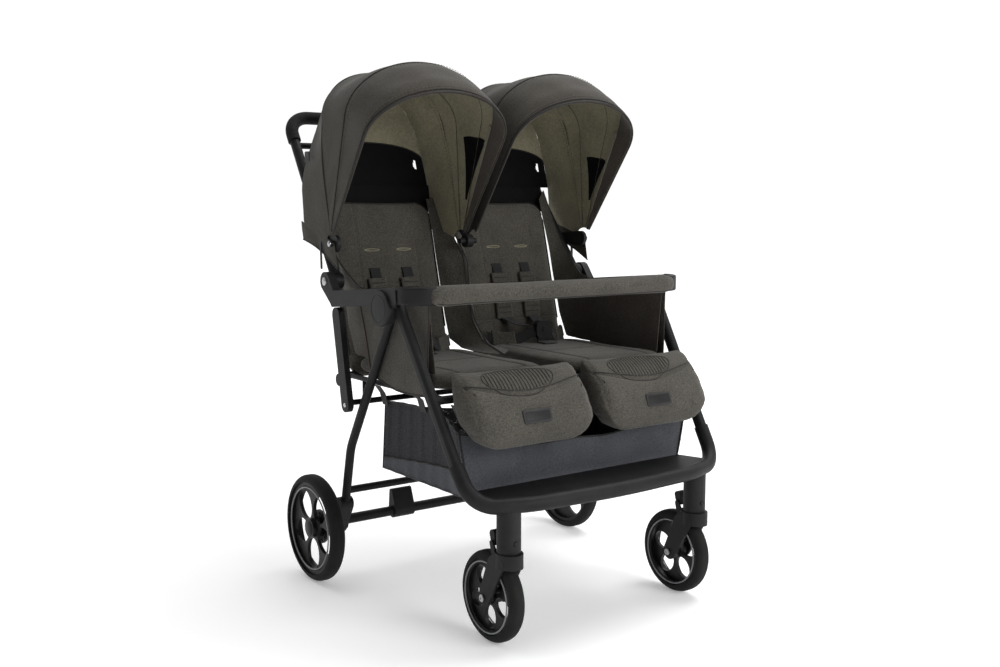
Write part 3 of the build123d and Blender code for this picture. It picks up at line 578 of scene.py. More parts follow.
for side, sign in SIDES:
    hood_x = sign * HOOD_X
    front, middle = f"canopy_front_{side}", f"canopy_middle_{side}"
    line_piece(f"hood_rim_piping_{side}", [bow_line(hood_x, -36.0, -0.6),
                                           bow_line(hood_x, -34.6, -0.4)], 2.0, front, piping_cloth)
    line_piece(f"hood_seam_piping_{side}", [bow_line(hood_x, -15.9, -0.2)], 1.5, front, piping_cloth)
    line_piece(f"hood_rear_seam_{side}", [bow_line(hood_x, 13.0, 5.0)], 1.6, "pusher", piping_cloth)
    for where, body, radius, rows in (("front", front, 0.55, ((-33.2, -0.5), (-18.2, -0.4))),
                                      ("rear", "pusher", 0.55, ((15.0, 5.0), (11.0, 5.0))),
                                      ("inner", "pusher", 0.5, ((12.0, 7.4), (14.2, 7.4)))):
        stitches(f"hood_{where}_stitches_{side}",
                 [bow_line(hood_x, degrees, inset, 300) for degrees, inset in rows], body, radius)

    def visor_place(u, v):
        ramp = min(1.0, max(0.0, (abs(2 * u - 1) - 0.16) / 0.3))
        width = 0.9 + 8.6 * ramp * ramp * (3 - 2 * ramp)
        return hood_point(hood_x, *bow_at(u), -35.9 + width * v, 2.4 + 2.6 * v)
    cloth_piece(f"hood_visor_{side}", front, visor_place, (120, 6), (dark_and_painted_shade_cloth,), 0.8)
    line_piece(f"hood_visor_hem_{side}", [[visor_place(0.02 + 0.96 * i / 90, 1.0)
                                          for i in range(91)]], 1.3, front, piping_cloth)
    for foot, (start, end) in (("a", (0.045, 0.27)), ("b", (0.955, 0.73))):
        def elastic_place(u, v):
            pucker = 0.8 * math.sin(v * 120)
            return hood_point(hood_x, *bow_at(start + (end - start) * v), -26.2 + 2.4 * u, 5.4 + pucker)
        cloth_piece(f"hood_elastic_{side}_{foot}", front, elastic_place, (4, 60), (elastic_cloth,), 1.0)

    # the mesh vents in the hood's sides, between the two front bows, seen from inside
    for edge, first in (("a", 0.075), ("b", 0.925)):
        for part, low_deg, high_deg, inset, body in (("front", -23.4, -17.3, 3.0, front),
                                                     ("middle", -17.1, -3.2, 5.0, middle)):
            def vent_place(u, v):
                span = 0.112 if (first < 0.5) == (side == "left") else 0.152
                share = first + (span if first < 0.5 else -span) * v
                reach = 0.18 + 0.82 * v
                low_side, high_side = -13.2 - 10.2 * reach, -13.2 + 10.0 * reach
                degrees = low_side + (high_side - low_side) * u
                return hood_point(hood_x, *bow_at(share), min(max(degrees, low_deg), high_deg), inset)
            vent = grid_sheet(vent_place, 40, 20)
            thicken(vent, 0.7)
            hand_on(vent, f"hood_side_vent_{part}_{side}_{edge}", body, vent_mesh)

    # zip pull, and the small tab behind it, on the hood's outer side
    outer = sign * 344.2
    soft_block(f"zip_pull_{side}", (7, 58, 2.2), 3.0, 0.6, mm(outer, 172, 716),
               Matrix.Rotation(math.radians(90), 3, "Y") @ Matrix.Rotation(math.radians(88), 3, "Z"),
               "pusher", webbing_cloth)
    soft_block(f"hood_tab_{side}", (22, 22, 1.6), 4.0, 0.5, mm(sign * 343.0, 232, 926),
               Matrix.Rotation(math.radians(90), 3, "Y"), "pusher", webbing_cloth)
    turned(f"clip_rivet_{side}", [(0, 0), (6.4, 0), (6.2, 1.2), (4.4, 2.4), (0, 2.9)],
           mm(sign * 348.6, CLIP_Y, CLIP_Z), (sign, 0, 0), "pusher", steel, 28)

# %% [markdown]
# Below the clips the hood's side cloth hangs down over the fold hinge as a skirt, with a bound edge.

# %% Hood skirts
for side, sign in SIDES:
    def skirt_place(u, v):
        top = Vector((118 + 152 * u, 744 + 44 * u))
        low = Vector((106 + 158 * u, 690 + 58 * u + 8 * math.sin(math.pi * u)))
        y, z = top.lerp(low, v)
        bulge = 1.6 * math.sin(u * 9) * math.sin(math.pi * v)
        return mm(sign * (341.2 + bulge - 1.0 * v), y, z)
    cloth_piece(f"hood_skirt_{side}", "pusher", skirt_place, (30, 14), (hood_cloth,), HOOD_THICK,
                mm(0, 180, 740))
    line_piece(f"hood_skirt_binding_{side}", [[skirt_place(i / 20, 1.0) for i in range(21)]], 1.6,
               "pusher", piping_cloth)

# %% [markdown]
# Padded pieces are sewn covers over foam. The foam swells the cover between its seams, so each is
# a closed form, remeshed evenly and blown up a little with cloth pressure. Each point's travel is
# capped so that it stays in its space. Seams and channels are pressed in afterwards.

# %% Swelling a padded piece
def swell(obj, cap_mm, voxel_mm=6.0, pressure=4.0):
    apply_modifier(obj, "REMESH", mode="VOXEL", voxel_size=voxel_mm * MM)
    before = [vertex.co.copy() for vertex in obj.data.vertices]
    select_only(obj)
    cloth = obj.modifiers.new("cloth", "CLOTH")
    cloth.settings.use_pressure = True
    cloth.settings.uniform_pressure_force = pressure
    cloth.settings.effector_weights.gravity = 0
    cloth.point_cache.frame_start, cloth.point_cache.frame_end = 1, 20
    scene = bpy.context.scene
    for step in range(1, 21):
        scene.frame_set(step)
    blown = obj.evaluated_get(bpy.context.evaluated_depsgraph_get())
    after = [vertex.co.copy() for vertex in blown.data.vertices]
    obj.modifiers.remove(cloth)
    scene.frame_set(1)
    for vertex, start, end in zip(obj.data.vertices, before, after):
        travel = end - start
        if travel.length > cap_mm * MM:
            travel *= cap_mm * MM / travel.length
        vertex.co = start + travel
    apply_modifier(obj, "SMOOTH", factor=0.5, iterations=3)
    apply_modifier(obj, "SUBSURF", levels=1, render_levels=1)


def press(obj, depth_at):
    """Presses seams in: each point moves in along its normal by depth_at(point) millimetres."""
    normals = [vertex.normal.copy() for vertex in obj.data.vertices]
    for vertex, normal in zip(obj.data.vertices, normals):
        depth = depth_at(vertex.co / MM)
        if depth:
            vertex.co -= normal * depth * MM
    obj.data.update()


def groove(distance, width, depth):
    return depth * math.exp(-(distance / width) ** 2)


def surface_of(obj):
    return BVHTree.FromPolygons([v.co for v in obj.data.vertices],
                                [tuple(f.vertices) for f in obj.data.polygons])


def on_surface(tree, start, direction, lift_mm=0.0):
    """The first point of a surface met from start, lifted off it a little."""
    hit, normal, _, _ = tree.ray_cast(start, direction.normalized())
    if hit is None:
        hit, normal, _, _ = tree.find_nearest(start + direction.normalized() * 0.05)
    if normal.dot(direction) > 0:
        normal = -normal
    return hit + normal * lift_mm * MM


def mirror_copy(obj, name):
    """The same piece for the other seat, with its own mesh and its faces turned back outwards."""
    select_only(obj)
    bpy.ops.object.duplicate()
    made = bpy.context.object
    made.name = name
    made.data.transform(Matrix.Scale(-1, 4, (1, 0, 0)))
    in_edit_mode(made, lambda: bpy.ops.mesh.normals_make_consistent(inside=False))
    return made


def pad_pair(pad, name, body, node):
    """Hands on a padded piece for the left seat and its mirror image for the right one."""
    pads = {"left": hand_on(pad, f"{name}_left", body.format("left"), cover_cloth,
                            replaces=(f"{node}_left",), smooth=60)}
    pads["right"] = mirror_copy(pad, f"{name}_right")     # it keeps the left pad's material as well
    hand_on(pads["right"], f"{name}_right", body.format("right"), replaces=(f"{node}_right",), smooth=60)
    return pads


def slab(across, along, thick, corner, place):
    """A closed padded slab: a rounded rectangle with soft edges, carried to place(a, b, c)."""
    bpy.ops.object.select_all(action="DESELECT")
    bpy.ops.mesh.primitive_cube_add(size=1)
    made = bpy.context.object
    made.scale = (across * MM, along * MM, thick * MM)
    bpy.ops.object.transform_apply(scale=True)
    weights = made.data.attributes.new("bevel_weight_edge", "FLOAT", "EDGE")
    for edge in made.data.edges:
        a, b = (made.data.vertices[i].co for i in edge.vertices)
        weights.data[edge.index].value = 1.0 if abs(a.z - b.z) > thick * MM * 0.5 else 0.0
    apply_modifier(made, "BEVEL", limit_method="WEIGHT", width=corner * MM, segments=8)
    apply_modifier(made, "BEVEL", limit_method="ANGLE", width=thick * 0.42 * MM, segments=4,
                   angle_limit=math.radians(50))
    for vertex in made.data.vertices:
        vertex.co = place(*(vertex.co / MM))
    return made


# %% [markdown]
# The seat back is a stitched pad on a board, with squarish top corners. Two sewn channels run down
# it beside the harness, and two cross it, so that the pad reads as soft panels.

# %% Seat backs
def back_point(x, height, out):
    """A point beside a seat back: height along it from its hinge, out from its middle plane."""
    return mm(x, PIVOT_Y + height * math.sin(LEAN) - out * math.cos(LEAN),
              PIVOT_Z + height * math.cos(LEAN) + out * math.sin(LEAN))


def back_height(point):
    y, z = point.y - PIVOT_Y, point.z - PIVOT_Z
    return y * math.sin(LEAN) + z * math.cos(LEAN), -y * math.cos(LEAN) + z * math.sin(LEAN)


def back_seams(point):
    x = abs(point.x) - SEAT_X
    height, out = back_height(point)
    if out < 4:
        return 0.0
    inside = max(0.0, min(1.0, (128 - abs(x)) / 20)) * max(0.0, min(1.0, (385 - height) / 20))
    depth = groove(abs(x) - 74, 3.0, 1.7) if 30 < height < 372 else 0
    depth += groove(height - 96, 3.6, 2.4)
    return depth * inside + groove(abs(x) - 131, 2.6, 1.6)


BACK_FRONT = Vector((0, -math.cos(LEAN), math.sin(LEAN)))
pad = slab(268, 392, 24, 40, lambda a, b, c: back_point(-SEAT_X + a, 186 + b, c))
swell(pad, 4.5)
press(pad, back_seams)
backs = pad_pair(pad, "seat_back_pad", "seat_back_{}", "seat_back")
for side, sign in SIDES:
    back, body = backs[side], f"seat_back_{side}"
    tree = surface_of(back)
    centre = sign * SEAT_X

    def on_back(across, height, lift=0.4):
        return on_surface(tree, back_point(centre + across, height, 60), -BACK_FRONT, lift)
    corners = [(-129, 40), (-129, 330), (-126, 362), (-112, 377), (-90, 381), (90, 381),
               (112, 377), (126, 362), (129, 330), (129, 40)]
    line_piece(f"seat_back_piping_{side}",
               [[on_back(a + (b - a) * i / 6, ha + (hb - ha) * i / 6, 0.8)
                 for (a, ha), (b, hb) in zip(corners, corners[1:]) for i in range(6)]],
               1.9, body, piping_cloth)
    rows = [[on_back(offset, 34 + 338 * i / 80, 0.2) for i in range(81)] for offset in (-77, -71, 71, 77)]
    rows += [[on_back(-126 + 252 * i / 60, height, 0.2) for i in range(61)] for height in (92.5, 99.5)]
    stitches(f"seat_back_stitches_{side}", rows, body)
    slots = []
    for across in (-41, 41):
        for lift in (-1, 1):
            slots.append([on_back(across + 19 * math.cos(turn), 269 + lift * 2.4 * math.sin(turn), 0.3)
                          for turn in [math.pi * i / 8 for i in range(9)]])
        edge = "in" if across * sign < 0 else "out"
        soft_block(f"harness_slot_{side}_{edge}", (30, 5, 1.6), 2.2, 0.4, on_back(across, 226, -0.1),
                   Matrix.Rotation(math.radians(90) - LEAN, 3, "X"), body, webbing_cloth)
    line_piece(f"harness_slot_binding_{side}", slots, 1.0, body, lining_cloth)

    def curtain_place(u, v):
        x = sign * (18 + 293 * u)
        return mm(x, 254 + 4 * v + 1.2 * math.sin(u * 30) * v, 806 + 62 * v)
    cloth_piece(f"seat_back_curtain_{side}", body, curtain_place, (50, 8), (vent_mesh,), 0.9,
                mm(centre, 0, 850))
print("seat backs", [len(b.data.polygons) for b in backs.values()])

# %% [markdown]
# The seat cushion is a flat foam pad. It is crowned on top and flat underneath, where it lies on
# the frame, with sewn channels across it, and it rolls over the front tube.

# %% Seat cushions
def cushion_seams(point):
    x = abs(point.x) - SEAT_X
    if point.z < 490:
        return 0.0
    depth = groove(abs(x) - 82, 3.4, 3.2) if -205 < point.y < 112 else 0
    depth += groove(point.y + 60, 3.4, 2.8) if abs(x) < 82 else 0
    return depth + groove(abs(abs(x) - 133), 2.6, 1.4)


pad = slab(272, 336, 27, 34, lambda a, b, c: mm(-SEAT_X + a, -50 + b, 486.5 + c))
swell(pad, 4.0)
for vertex in pad.data.vertices:
    vertex.co.z = max(vertex.co.z, 0.4695)
press(pad, cushion_seams)
cushions = pad_pair(pad, "seat_cushion_pad", "chassis", "seat_cushion")
for side, sign in SIDES:
    tree = surface_of(cushions[side])
    down = Vector((0, 0, -1))
    rows = [[on_surface(tree, mm(sign * SEAT_X + offset, -200 + 305 * i / 60, 560), down, 0.2)
             for i in range(61)] for offset in (-85, -79, 79, 85)]
    stitches(f"seat_cushion_stitches_{side}", rows, "chassis")

# %% [markdown]
# The leg rest hangs from the seat's front edge. It is a thick pad folded over the front tube. Its
# lower corners are round, piping crosses its face in a shallow curve, and an oval ribbed panel
# sits on top, where the calves rub.

# %% Leg rests
LEG_X, LEG_HALF, LEG_FOOT, LEG_CORNER = 156.0, 147.0, 366.0, 64.0
LEG_OUTLINE = ((-249, 511), (-250, 494), (-252, 474), (-257, 447), (-276, 414), (-298, 381), (-309, 368),
               (-322, 365), (-336, 366), (-343, 374), (-346, 392), (-346, 412), (-336, 436),
               (-323, 460), (-302, 484), (-280, 503), (-264, 511))


def leg_section(x):
    """The pad's outline at a place x across it, lifted at the round lower corners."""
    away = max(0.0, abs(x) - (LEG_HALF - 3 - LEG_CORNER))
    lift = LEG_CORNER - math.sqrt(max(0.0, LEG_CORNER ** 2 - min(away, LEG_CORNER - 0.5) ** 2))
    edge = max(0.0, abs(x) - (LEG_HALF - 14)) / 14
    points = []
    for y, z in LEG_OUTLINE:
        z = max(z, LEG_FOOT + 3 + lift)
        squeeze = 1 - 0.45 * edge ** 2.2
        mid_y = -249 - (514 - z) * 0.36 - 12
        points.append((mid_y + (y - mid_y) * squeeze, 440 + (z - 440) * (1 - 0.06 * edge ** 2)))
    return points


# places across the pad, closer together towards its round ends
end_stations = [144, 141, 136, 128, 118, 106, 92]
stations = [-x for x in end_stations] + list(range(-75, 76, 25)) + end_stations[::-1]
count = len(LEG_OUTLINE)
rest = grid_sheet(lambda u, v: Vector((u, v, 0)), count, len(stations) - 1)
for vertex in rest.data.vertices:
    x = stations[round(vertex.co.y * (len(stations) - 1))]
    y, z = leg_section(x)[round(vertex.co.x * count) % count]
    vertex.co = mm(-LEG_X + x, y, z)
in_edit_mode(rest, lambda: bpy.ops.mesh.remove_doubles(threshold=0.00005),
             lambda: bpy.ops.mesh.fill_holes(sides=0),
             lambda: bpy.ops.mesh.normals_make_consistent(inside=False))
swell(rest, 3.5)


def leg_line(x, middle_z=490):
    """Height of the curved seam on the leg rest's face, at a place x across it."""
    return middle_z - 23 * math.cos(x / LEG_HALF * math.pi / 2) ** 1.3


def leg_seams(point):
    x = abs(point.x) - LEG_X
    line = leg_line(x)
    front = point.y < -262 - (514 - point.z) * 0.30
    depth = groove(point.z - line, 2.8, 2.4) if front else 0
    return depth + (groove(abs(x) - 134, 2.4, 1.2) if front else 0)


press(rest, leg_seams)
rests = pad_pair(rest, "leg_rest_pad", "leg_rest_{}", "leg_rest")
for side, sign in SIDES:
    body, tree, centre = f"leg_rest_{side}", surface_of(rests[side]), sign * LEG_X

    def on_face(across, z, lift=0.6):
        slope = Vector((0, 1, -0.35))
        return on_surface(tree, mm(centre + across, -420, z + 45), slope, lift)
    smile = [on_face(x, leg_line(x)) for x in [-143 + 286 * i / 48 for i in range(49)]]
    line_piece(f"leg_rest_piping_{side}", [smile], 1.6, body, piping_cloth)
    stitches(f"leg_rest_stitches_{side}",
             [[on_face(x, leg_line(x, 483), 0.2) for x in [-138 + 276 * i / 60 for i in range(61)]]], body)
    # the ribbed calf panel: short cords side by side inside an oval
    ribs = []
    for i in range(19):
        across = -81 + 9 * i
        half = 21 * math.sqrt(max(0.0, 1 - (across / 88) ** 2))
        if half > 3:
            ribs.append([on_surface(tree, mm(centre - 12 + across * 0.9, -284 + t, 560),
                                    Vector((0, -0.12, -1)), 0.3)
                         for t in (-half, -half / 2, 0, half / 2, half)])
    line_piece(f"leg_rest_ribs_{side}", ribs, 2.0, body, cover_cloth)
    oval = [on_surface(tree, mm(centre - 12 + 83 * math.cos(a), -284 + 25 * math.sin(a), 560),
                       Vector((0, -0.12, -1)), 0.2) for a in [math.tau * i / 48 for i in range(48)]]
    line_piece(f"leg_rest_oval_{side}", [oval], 1.2, body, piping_cloth, closed=True)
    patch_at = on_surface(tree, mm(centre - 3, -420, 429), Vector((0, 1, 0)), 0.6)
    soft_block(f"leg_rest_patch_{side}", (67, 27, 3.2), 5.0, 0.9, patch_at,
               Matrix.Rotation(math.radians(70), 3, "X"), body, patch_rubber)
    soft_block(f"leg_rest_patch_rim_{side}", (59, 19, 3.9), 4.0, 0.5, patch_at,
               Matrix.Rotation(math.radians(70), 3, "X"), body, wheel_nylon)

# %% [markdown]
# The bumper bar's cover is a foam tube in a zipped sleeve: an oval roll with rounded ends, a seam
# along its underside and gathers at its ends.

# %% Bumper cover
bpy.ops.object.select_all(action="DESELECT")
bpy.ops.mesh.primitive_cylinder_add(vertices=36, radius=1, depth=2, end_fill_type="TRIFAN")
roll = bpy.context.object
in_edit_mode(roll, lambda: bpy.ops.mesh.bisect(plane_co=(0, 0, 0), plane_no=(0, 0, 1)),
             lambda: bpy.ops.mesh.select_all(action="SELECT"),
             lambda: bpy.ops.mesh.subdivide(number_cuts=5))
for vertex in roll.data.vertices:
    across = math.copysign(1 - (1 - abs(vertex.co.z)) ** 2.2, vertex.co.z)
    around = math.atan2(vertex.co.y, vertex.co.x)
    share = min(1.0, math.hypot(vertex.co.x, vertex.co.y))
    end = max(0.0, (abs(across) - 0.94) / 0.06)
    cap = math.sqrt(max(0.0, 1 - end ** 2.4)) if share > 0.99 else share
    reach = cap * (1 + 0.02 * math.sin(across * 9 + around) + 0.012 * math.sin(across * 23 - around * 2))
    vertex.co = mm(across * 314, -211 + 18.2 * reach * math.cos(around),
                   652 + 21.2 * reach * math.sin(around))
swell(roll, 1.6, 5.0, 2.0)
press(roll, lambda p: groove(math.hypot(p.y + 204, p.z - 632), 4.0, 3.0) if p.z < 640 else 0)
hand_on(roll, "bumper_cover", "bumper", cover_cloth, replaces=("bumper_pad",), smooth=60)
tree = surface_of(roll)
seam = [on_surface(tree, mm(-300 + 600 * i / 60, -235, 600), Vector((0, 0.35, 1)), 0.2) for i in range(61)]
line_piece("bumper_cover_seam", [seam], 1.4, "bumper", piping_cloth)

# %% [markdown]
# Between the seat's side rail, the armrest and the seat back hangs a side wing, so that a
# child's arm can't slip out. The outer wing's front part takes a darker cloth: painted shade.
# A lower gusset hangs the same way between the two seats.

# %% Side wings and gussets
def along(line, u):
    """A point a share u along a line of (y, z) points, its steps taken as equal."""
    t = u * (len(line) - 1)
    i = min(int(t), len(line) - 2)
    return Vector(line[i]).lerp(Vector(line[i + 1]), t - i)


for side, sign in SIDES:
    body = f"seat_back_{side}"
    for wing, x_low, x_top, foot_line, edge_line in (
            ("outer", 291.0, 304.5,
             ((-192, 500), (-60, 502), (60, 502), (124, 506), (152, 562), (172, 632), (198, 724), (238, 836)),
             ((-192, 642), (-60, 645), (40, 646), (87, 656), (126, 683), (161, 716), (194, 756), (252, 858))),
            ("inner", 40.0, 4.0,
             ((20, 500), (90, 503), (140, 520), (160, 572), (178, 640), (195, 705), (212, 765), (238, 836)),
             ((-10, 496), (56, 515), (100, 560), (122, 602), (126, 652), (134, 700), (184, 756),
              (244, 842)))):
        def wing_place(u, v):
            y, z = along(foot_line, u).lerp(along(edge_line, u), v)
            folds = 2.6 * math.sin(u * 15 + v * 4) * math.sin(math.pi * v) * math.sin(math.pi * u) ** 0.5
            flare = 11.0 * ease((z - 650) / 70) * v if wing == "outer" else 0.0
            return mm(sign * (x_low + (x_top - x_low) * v + flare
                              - (abs(folds) if wing == "outer" else folds)), y, z)
        sheet = grid_sheet(wing_place, 60, 24)
        face_away(sheet, mm(sign * SEAT_X, 0, 600))
        sheet.data.materials.append(dark_and_painted_shade_cloth)
        sheet.data.materials.append(cover_cloth)
        # the outer wing's front faces take the darker cloth as painted shade; the rest, and the inner wing,
        # take the olive cover cloth
        for face in sheet.data.polygons:
            face.material_index = int(wing == "inner" or face.center.y > 0.1)
        thicken(sheet, 1.4)
        hand_on(sheet, f"seat_wing_{wing}_{side}", None, smooth=60)
        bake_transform(sheet)
        for label, lines, radius, cloth in (
                ("binding", [[wing_place(i / 60, 1.0) for i in range(61)]], 1.7, piping_cloth),
                ("seams", [[wing_place(0.02 + 0.36 * t, 0.04 + 0.9 * t) for t in [i / 20 for i in range(21)]],
                           [wing_place(0.2 + 0.22 * t, 0.03 + 0.9 * t) for t in [i / 20 for i in range(21)]]],
                 0.8, piping_cloth)):
            piece = line_piece(f"seat_wing_{label}_{wing}_{side}", lines, radius, None, cloth)
            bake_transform(piece)

    def panel_place(u, v):
        low = Vector((-192 + 217 * u, 459 + 20 * u ** 3 - 6 * math.sin(math.pi * u)))
        top = Vector((-198 + 270 * u, 664 - 30 * min(1.0, u * 3.2)))
        y, z = low.lerp(top, v)
        bulge = 2.2 * math.sin(math.pi * u) * math.sin(math.pi * v) + 0.8 * math.sin(u * 15 + v * 6)
        return mm(sign * (307.6 + bulge), y, z)
    cloth_piece(f"side_panel_{side}", "chassis", panel_place, (40, 30), (cover_cloth,), 1.4,
                mm(0, 0, 560),
                ("side_panels",) if side == "left" else (), 60)
    line_piece(f"side_panel_binding_{side}",
               [[panel_place(0.0, 1 - i / 20) for i in range(20)]
                + [panel_place(i / 24, 0.0) for i in range(24)]
                + [panel_place(1.0, i / 20) for i in range(21)]], 1.8, "chassis", piping_cloth)
    stitches(f"side_panel_stitches_{side}",
             [[panel_place(0.03 + 0.94 * i / 50, 0.16) for i in range(51)],
              [panel_place(0.05, 0.05 + 0.9 * i / 50) for i in range(51)]], "chassis")
print("wings and panels made")

# %% [markdown]
# The harness is flat webbing, modelled directly as ribbons: two shoulder straps with quilted pads
# from the slots, and two waist straps with pads, all meeting at the buckle.

# %% Harness
def ribbon(name, points, sides, width_mm, thick_mm, body, material, rows=0):
    """A flat strap: points down its middle, and at each the direction across it."""
    count = len(points) - 1

    def place(u, v):
        t = v * count
        i = min(int(t), count - 1)
        middle = points[i].lerp(points[i + 1], t - i)
        across = sides[i].lerp(sides[i + 1], t - i).normalized()
        return middle + across * (u - 0.5) * width_mm * MM
    strap = grid_sheet(place, 6, count * 3)
    apply_modifier(strap, "SOLIDIFY", thickness=thick_mm * MM, offset=0.0)
    if thick_mm > 3:
        apply_modifier(strap, "BEVEL", width=thick_mm * 0.35 * MM, segments=2, limit_method="ANGLE",
                       angle_limit=math.radians(50))
        apply_modifier(strap, "SUBSURF", levels=1, render_levels=1)
    return hand_on(strap, name, body, material, smooth=50)


for side, sign in SIDES:
    body, tree, centre = f"seat_back_{side}", surface_of(backs[side]), sign * SEAT_X
    wide = Vector((1, 0, 0))
    for label, across in (("in", -sign * 41), ("out", sign * 41)):
        def strap_at(height, lift):
            return on_surface(tree, back_point(centre + across, height, 60), -BACK_FRONT, lift)
        pad_points = [strap_at(204 - 108 * i / 12, 5.0 + 4.0 * math.sin(math.pi * i / 12)) for i in range(13)]
        pad_piece = ribbon(f"shoulder_pad_{side}_{label}", pad_points, [wide] * 13, 44, 8, body, cover_cloth)
        ribs = [[strap_at(h, 9.4 + 4 * math.sin(math.pi * (204 - h) / 108)) + wide * t * MM
                 for t in (-18, 0, 18)] for h in range(108, 198, 12)]
        line_piece(f"shoulder_pad_ribs_{side}_{label}", ribs, 0.9, body, piping_cloth, smooth=False)
        webbing = [strap_at(228 - 5 * i, 0.6 + 1.2 * i) for i in range(6)]
        ribbon(f"shoulder_web_top_{side}_{label}", webbing, [wide] * 6, 25, 1.6, body, webbing_cloth)
        start = strap_at(100, 6.0)
        end = mm(centre + across * 0.26, 52, 552)
        sag = [start.lerp(end, t) + Vector((0, -0.006, -0.012)) * math.sin(math.pi * t)
               for t in [i / 10 for i in range(11)]]
        lower = ribbon(f"shoulder_web_low_{side}_{label}", sag, [wide] * 11, 24, 1.6, None, webbing_cloth)
        mm(centre, 62, 550)
        mm(centre, 140, 560)
        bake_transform(lower)
        # waist strap: from the seat back's foot to the buckle, with its pad
        hip = mm(centre + (1 if across > 0 else -1) * 112, 122, 520)
        tongue = mm(centre + (1 if across > 0 else -1) * 24, 57, 533)
        waist = [hip.lerp(tongue, t) + Vector((0, 0, -0.016)) * math.sin(math.pi * t)
                 for t in [i / 10 for i in range(11)]]
        tilt = [Vector((0, 0.35, 1)).normalized()] * 11
        ribbon(f"waist_web_{side}_{label}", waist, tilt, 24, 1.6, "chassis", webbing_cloth)
        belt = ribbon(f"belt_pad_{side}_{label}", waist[1:7], tilt[1:7], 40, 7, "chassis", cover_cloth)
    ribbon(f"crotch_web_{side}", [mm(centre, 57, 508), mm(centre, 52, 507), mm(centre, 40, 506.5),
                                  mm(centre, 24, 506)], [wide] * 4, 34, 1.6, "chassis", webbing_cloth)
print("harness made")

# %% [markdown]
# The basket is a sewn bag of canvas and mesh hung from the frame: a slate canvas front wall and
# base, pleated mesh sides that belly out a little, and black binding on every edge.

# %% Basket
BASKET_HALF, BASKET_FRONT, BASKET_REAR, BASKET_BASE = 266.0, -284.0, 60.0, 266.0


def basket_top(y):
    return 402 + 17 * math.sin(math.pi * min(1.0, (y - BASKET_FRONT) / 400))


def basket_sheet(name, place, cells, material, thick=1.6, replaces=()):
    cloth_piece(name, "chassis", place, cells, (material,), thick,
                mm(0, -110, 330), replaces, 60)


def front_wall(u, v):
    half = BASKET_HALF + 32 * v ** 0.7
    x = -half + 2 * half * u
    top = 356 + 44 * abs(2 * u - 1) ** 2.2 + 3 * math.sin(u * 17)
    belly = 3.2 * math.sin(math.pi * v) * math.sin(u * 12) - 2 * math.sin(math.pi * v)
    return mm(x, BASKET_FRONT + 4 - belly * 0.6, BASKET_BASE + (top - BASKET_BASE) * v)


def rear_wall(u, v):
    x = -BASKET_HALF + 2 * BASKET_HALF * u
    top = 372 + 40 * abs(2 * u - 1) ** 2.0
    return mm(x, BASKET_REAR - 14 * v - 1.5 - 2 * math.sin(u * 11) * math.sin(math.pi * v),
              BASKET_BASE + (top - BASKET_BASE) * v)


def floor_place(u, v):
    sag = 1.6 * math.sin(math.pi * u) * math.sin(math.pi * v)
    return mm(-BASKET_HALF + 2 * BASKET_HALF * u, BASKET_FRONT + 4 + (BASKET_REAR - BASKET_FRONT - 6) * v,
              BASKET_BASE + 1.8 - sag)


basket_sheet("basket_front_wall", front_wall, (60, 12), basket_cloth, replaces=("basket",))
basket_sheet("basket_floor", floor_place, (40, 30), basket_cloth)
basket_sheet("basket_rear_wall", rear_wall, (60, 12), basket_mesh, 1.0)
for side, sign in SIDES:
    def side_wall(u, v):
        y = BASKET_FRONT + 4 + (BASKET_REAR - BASKET_FRONT - 10) * u - 12 * v * u
        top = basket_top(y)
        pleat = 2.4 * math.sin(u * 46) * (0.25 + 0.75 * v) * (1 - 0.3 * v)
        flare = 31 * v ** 0.7 * (1 - ease(u * 3.0))
        return mm(sign * (BASKET_HALF - 2.6 + pleat + flare), y, BASKET_BASE + (top - BASKET_BASE) * v)
    basket_sheet(f"basket_side_{side}", side_wall, (120, 14), basket_mesh, 1.0)
    # the solid canvas foot of the side, and its bindings
    basket_sheet(f"basket_side_foot_{side}",
                 lambda u, v: side_wall(u, 0.02 + v * (0.16 + 0.2 * (1 - u))) + Vector((sign * 0.0012, 0, 0)),
                 (80, 6), basket_cloth, 1.0)
    line_piece(f"basket_side_binding_{side}",
               [[side_wall(i / 60, 1.0) for i in range(61)],
                [side_wall(0.002, i / 12) for i in range(13)],
                [side_wall(i / 60, 0.01) for i in range(61)],
                [side_wall(i / 40, 0.18 + 0.2 * (1 - i / 40)) + Vector((sign * 0.001, 0, 0))
                 for i in range(41)]],
               2.1, "chassis", webbing_cloth)
    for where, y in (("front", -250), ("middle", -110), ("rear", 40)):
        top = basket_top(y)
        ribbon(f"basket_strap_{where}_{side}",
               [mm(sign * (BASKET_HALF + 0.5), y, top - 6), mm(sign * (BASKET_HALF + 8), y, top + 20),
                mm(sign * (BASKET_HALF + 20), y, 448)],
               [Vector((0, 1, 0))] * 3, 22, 1.6, "chassis", webbing_cloth)
line_piece("basket_wall_binding",
           [[front_wall(i / 60, 1.0) for i in range(61)], [rear_wall(i / 60, 1.0) for i in range(61)],
            [front_wall(i / 60, 0.01) for i in range(61)]], 2.1, "chassis", webbing_cloth)
print("basket made")

# %% [markdown]
# Small hard trim: a thin grey ring set in each wheel, caps and bolts on the forks, a ring on the
# hub covers, and rivets at the folding joints.

# %% Wheel and joint trim
def ring_profile(radius, width, height):
    return [(radius - width, 0), (radius + width, 0), (radius + width * 0.8, height),
            (radius - width * 0.8, height)]


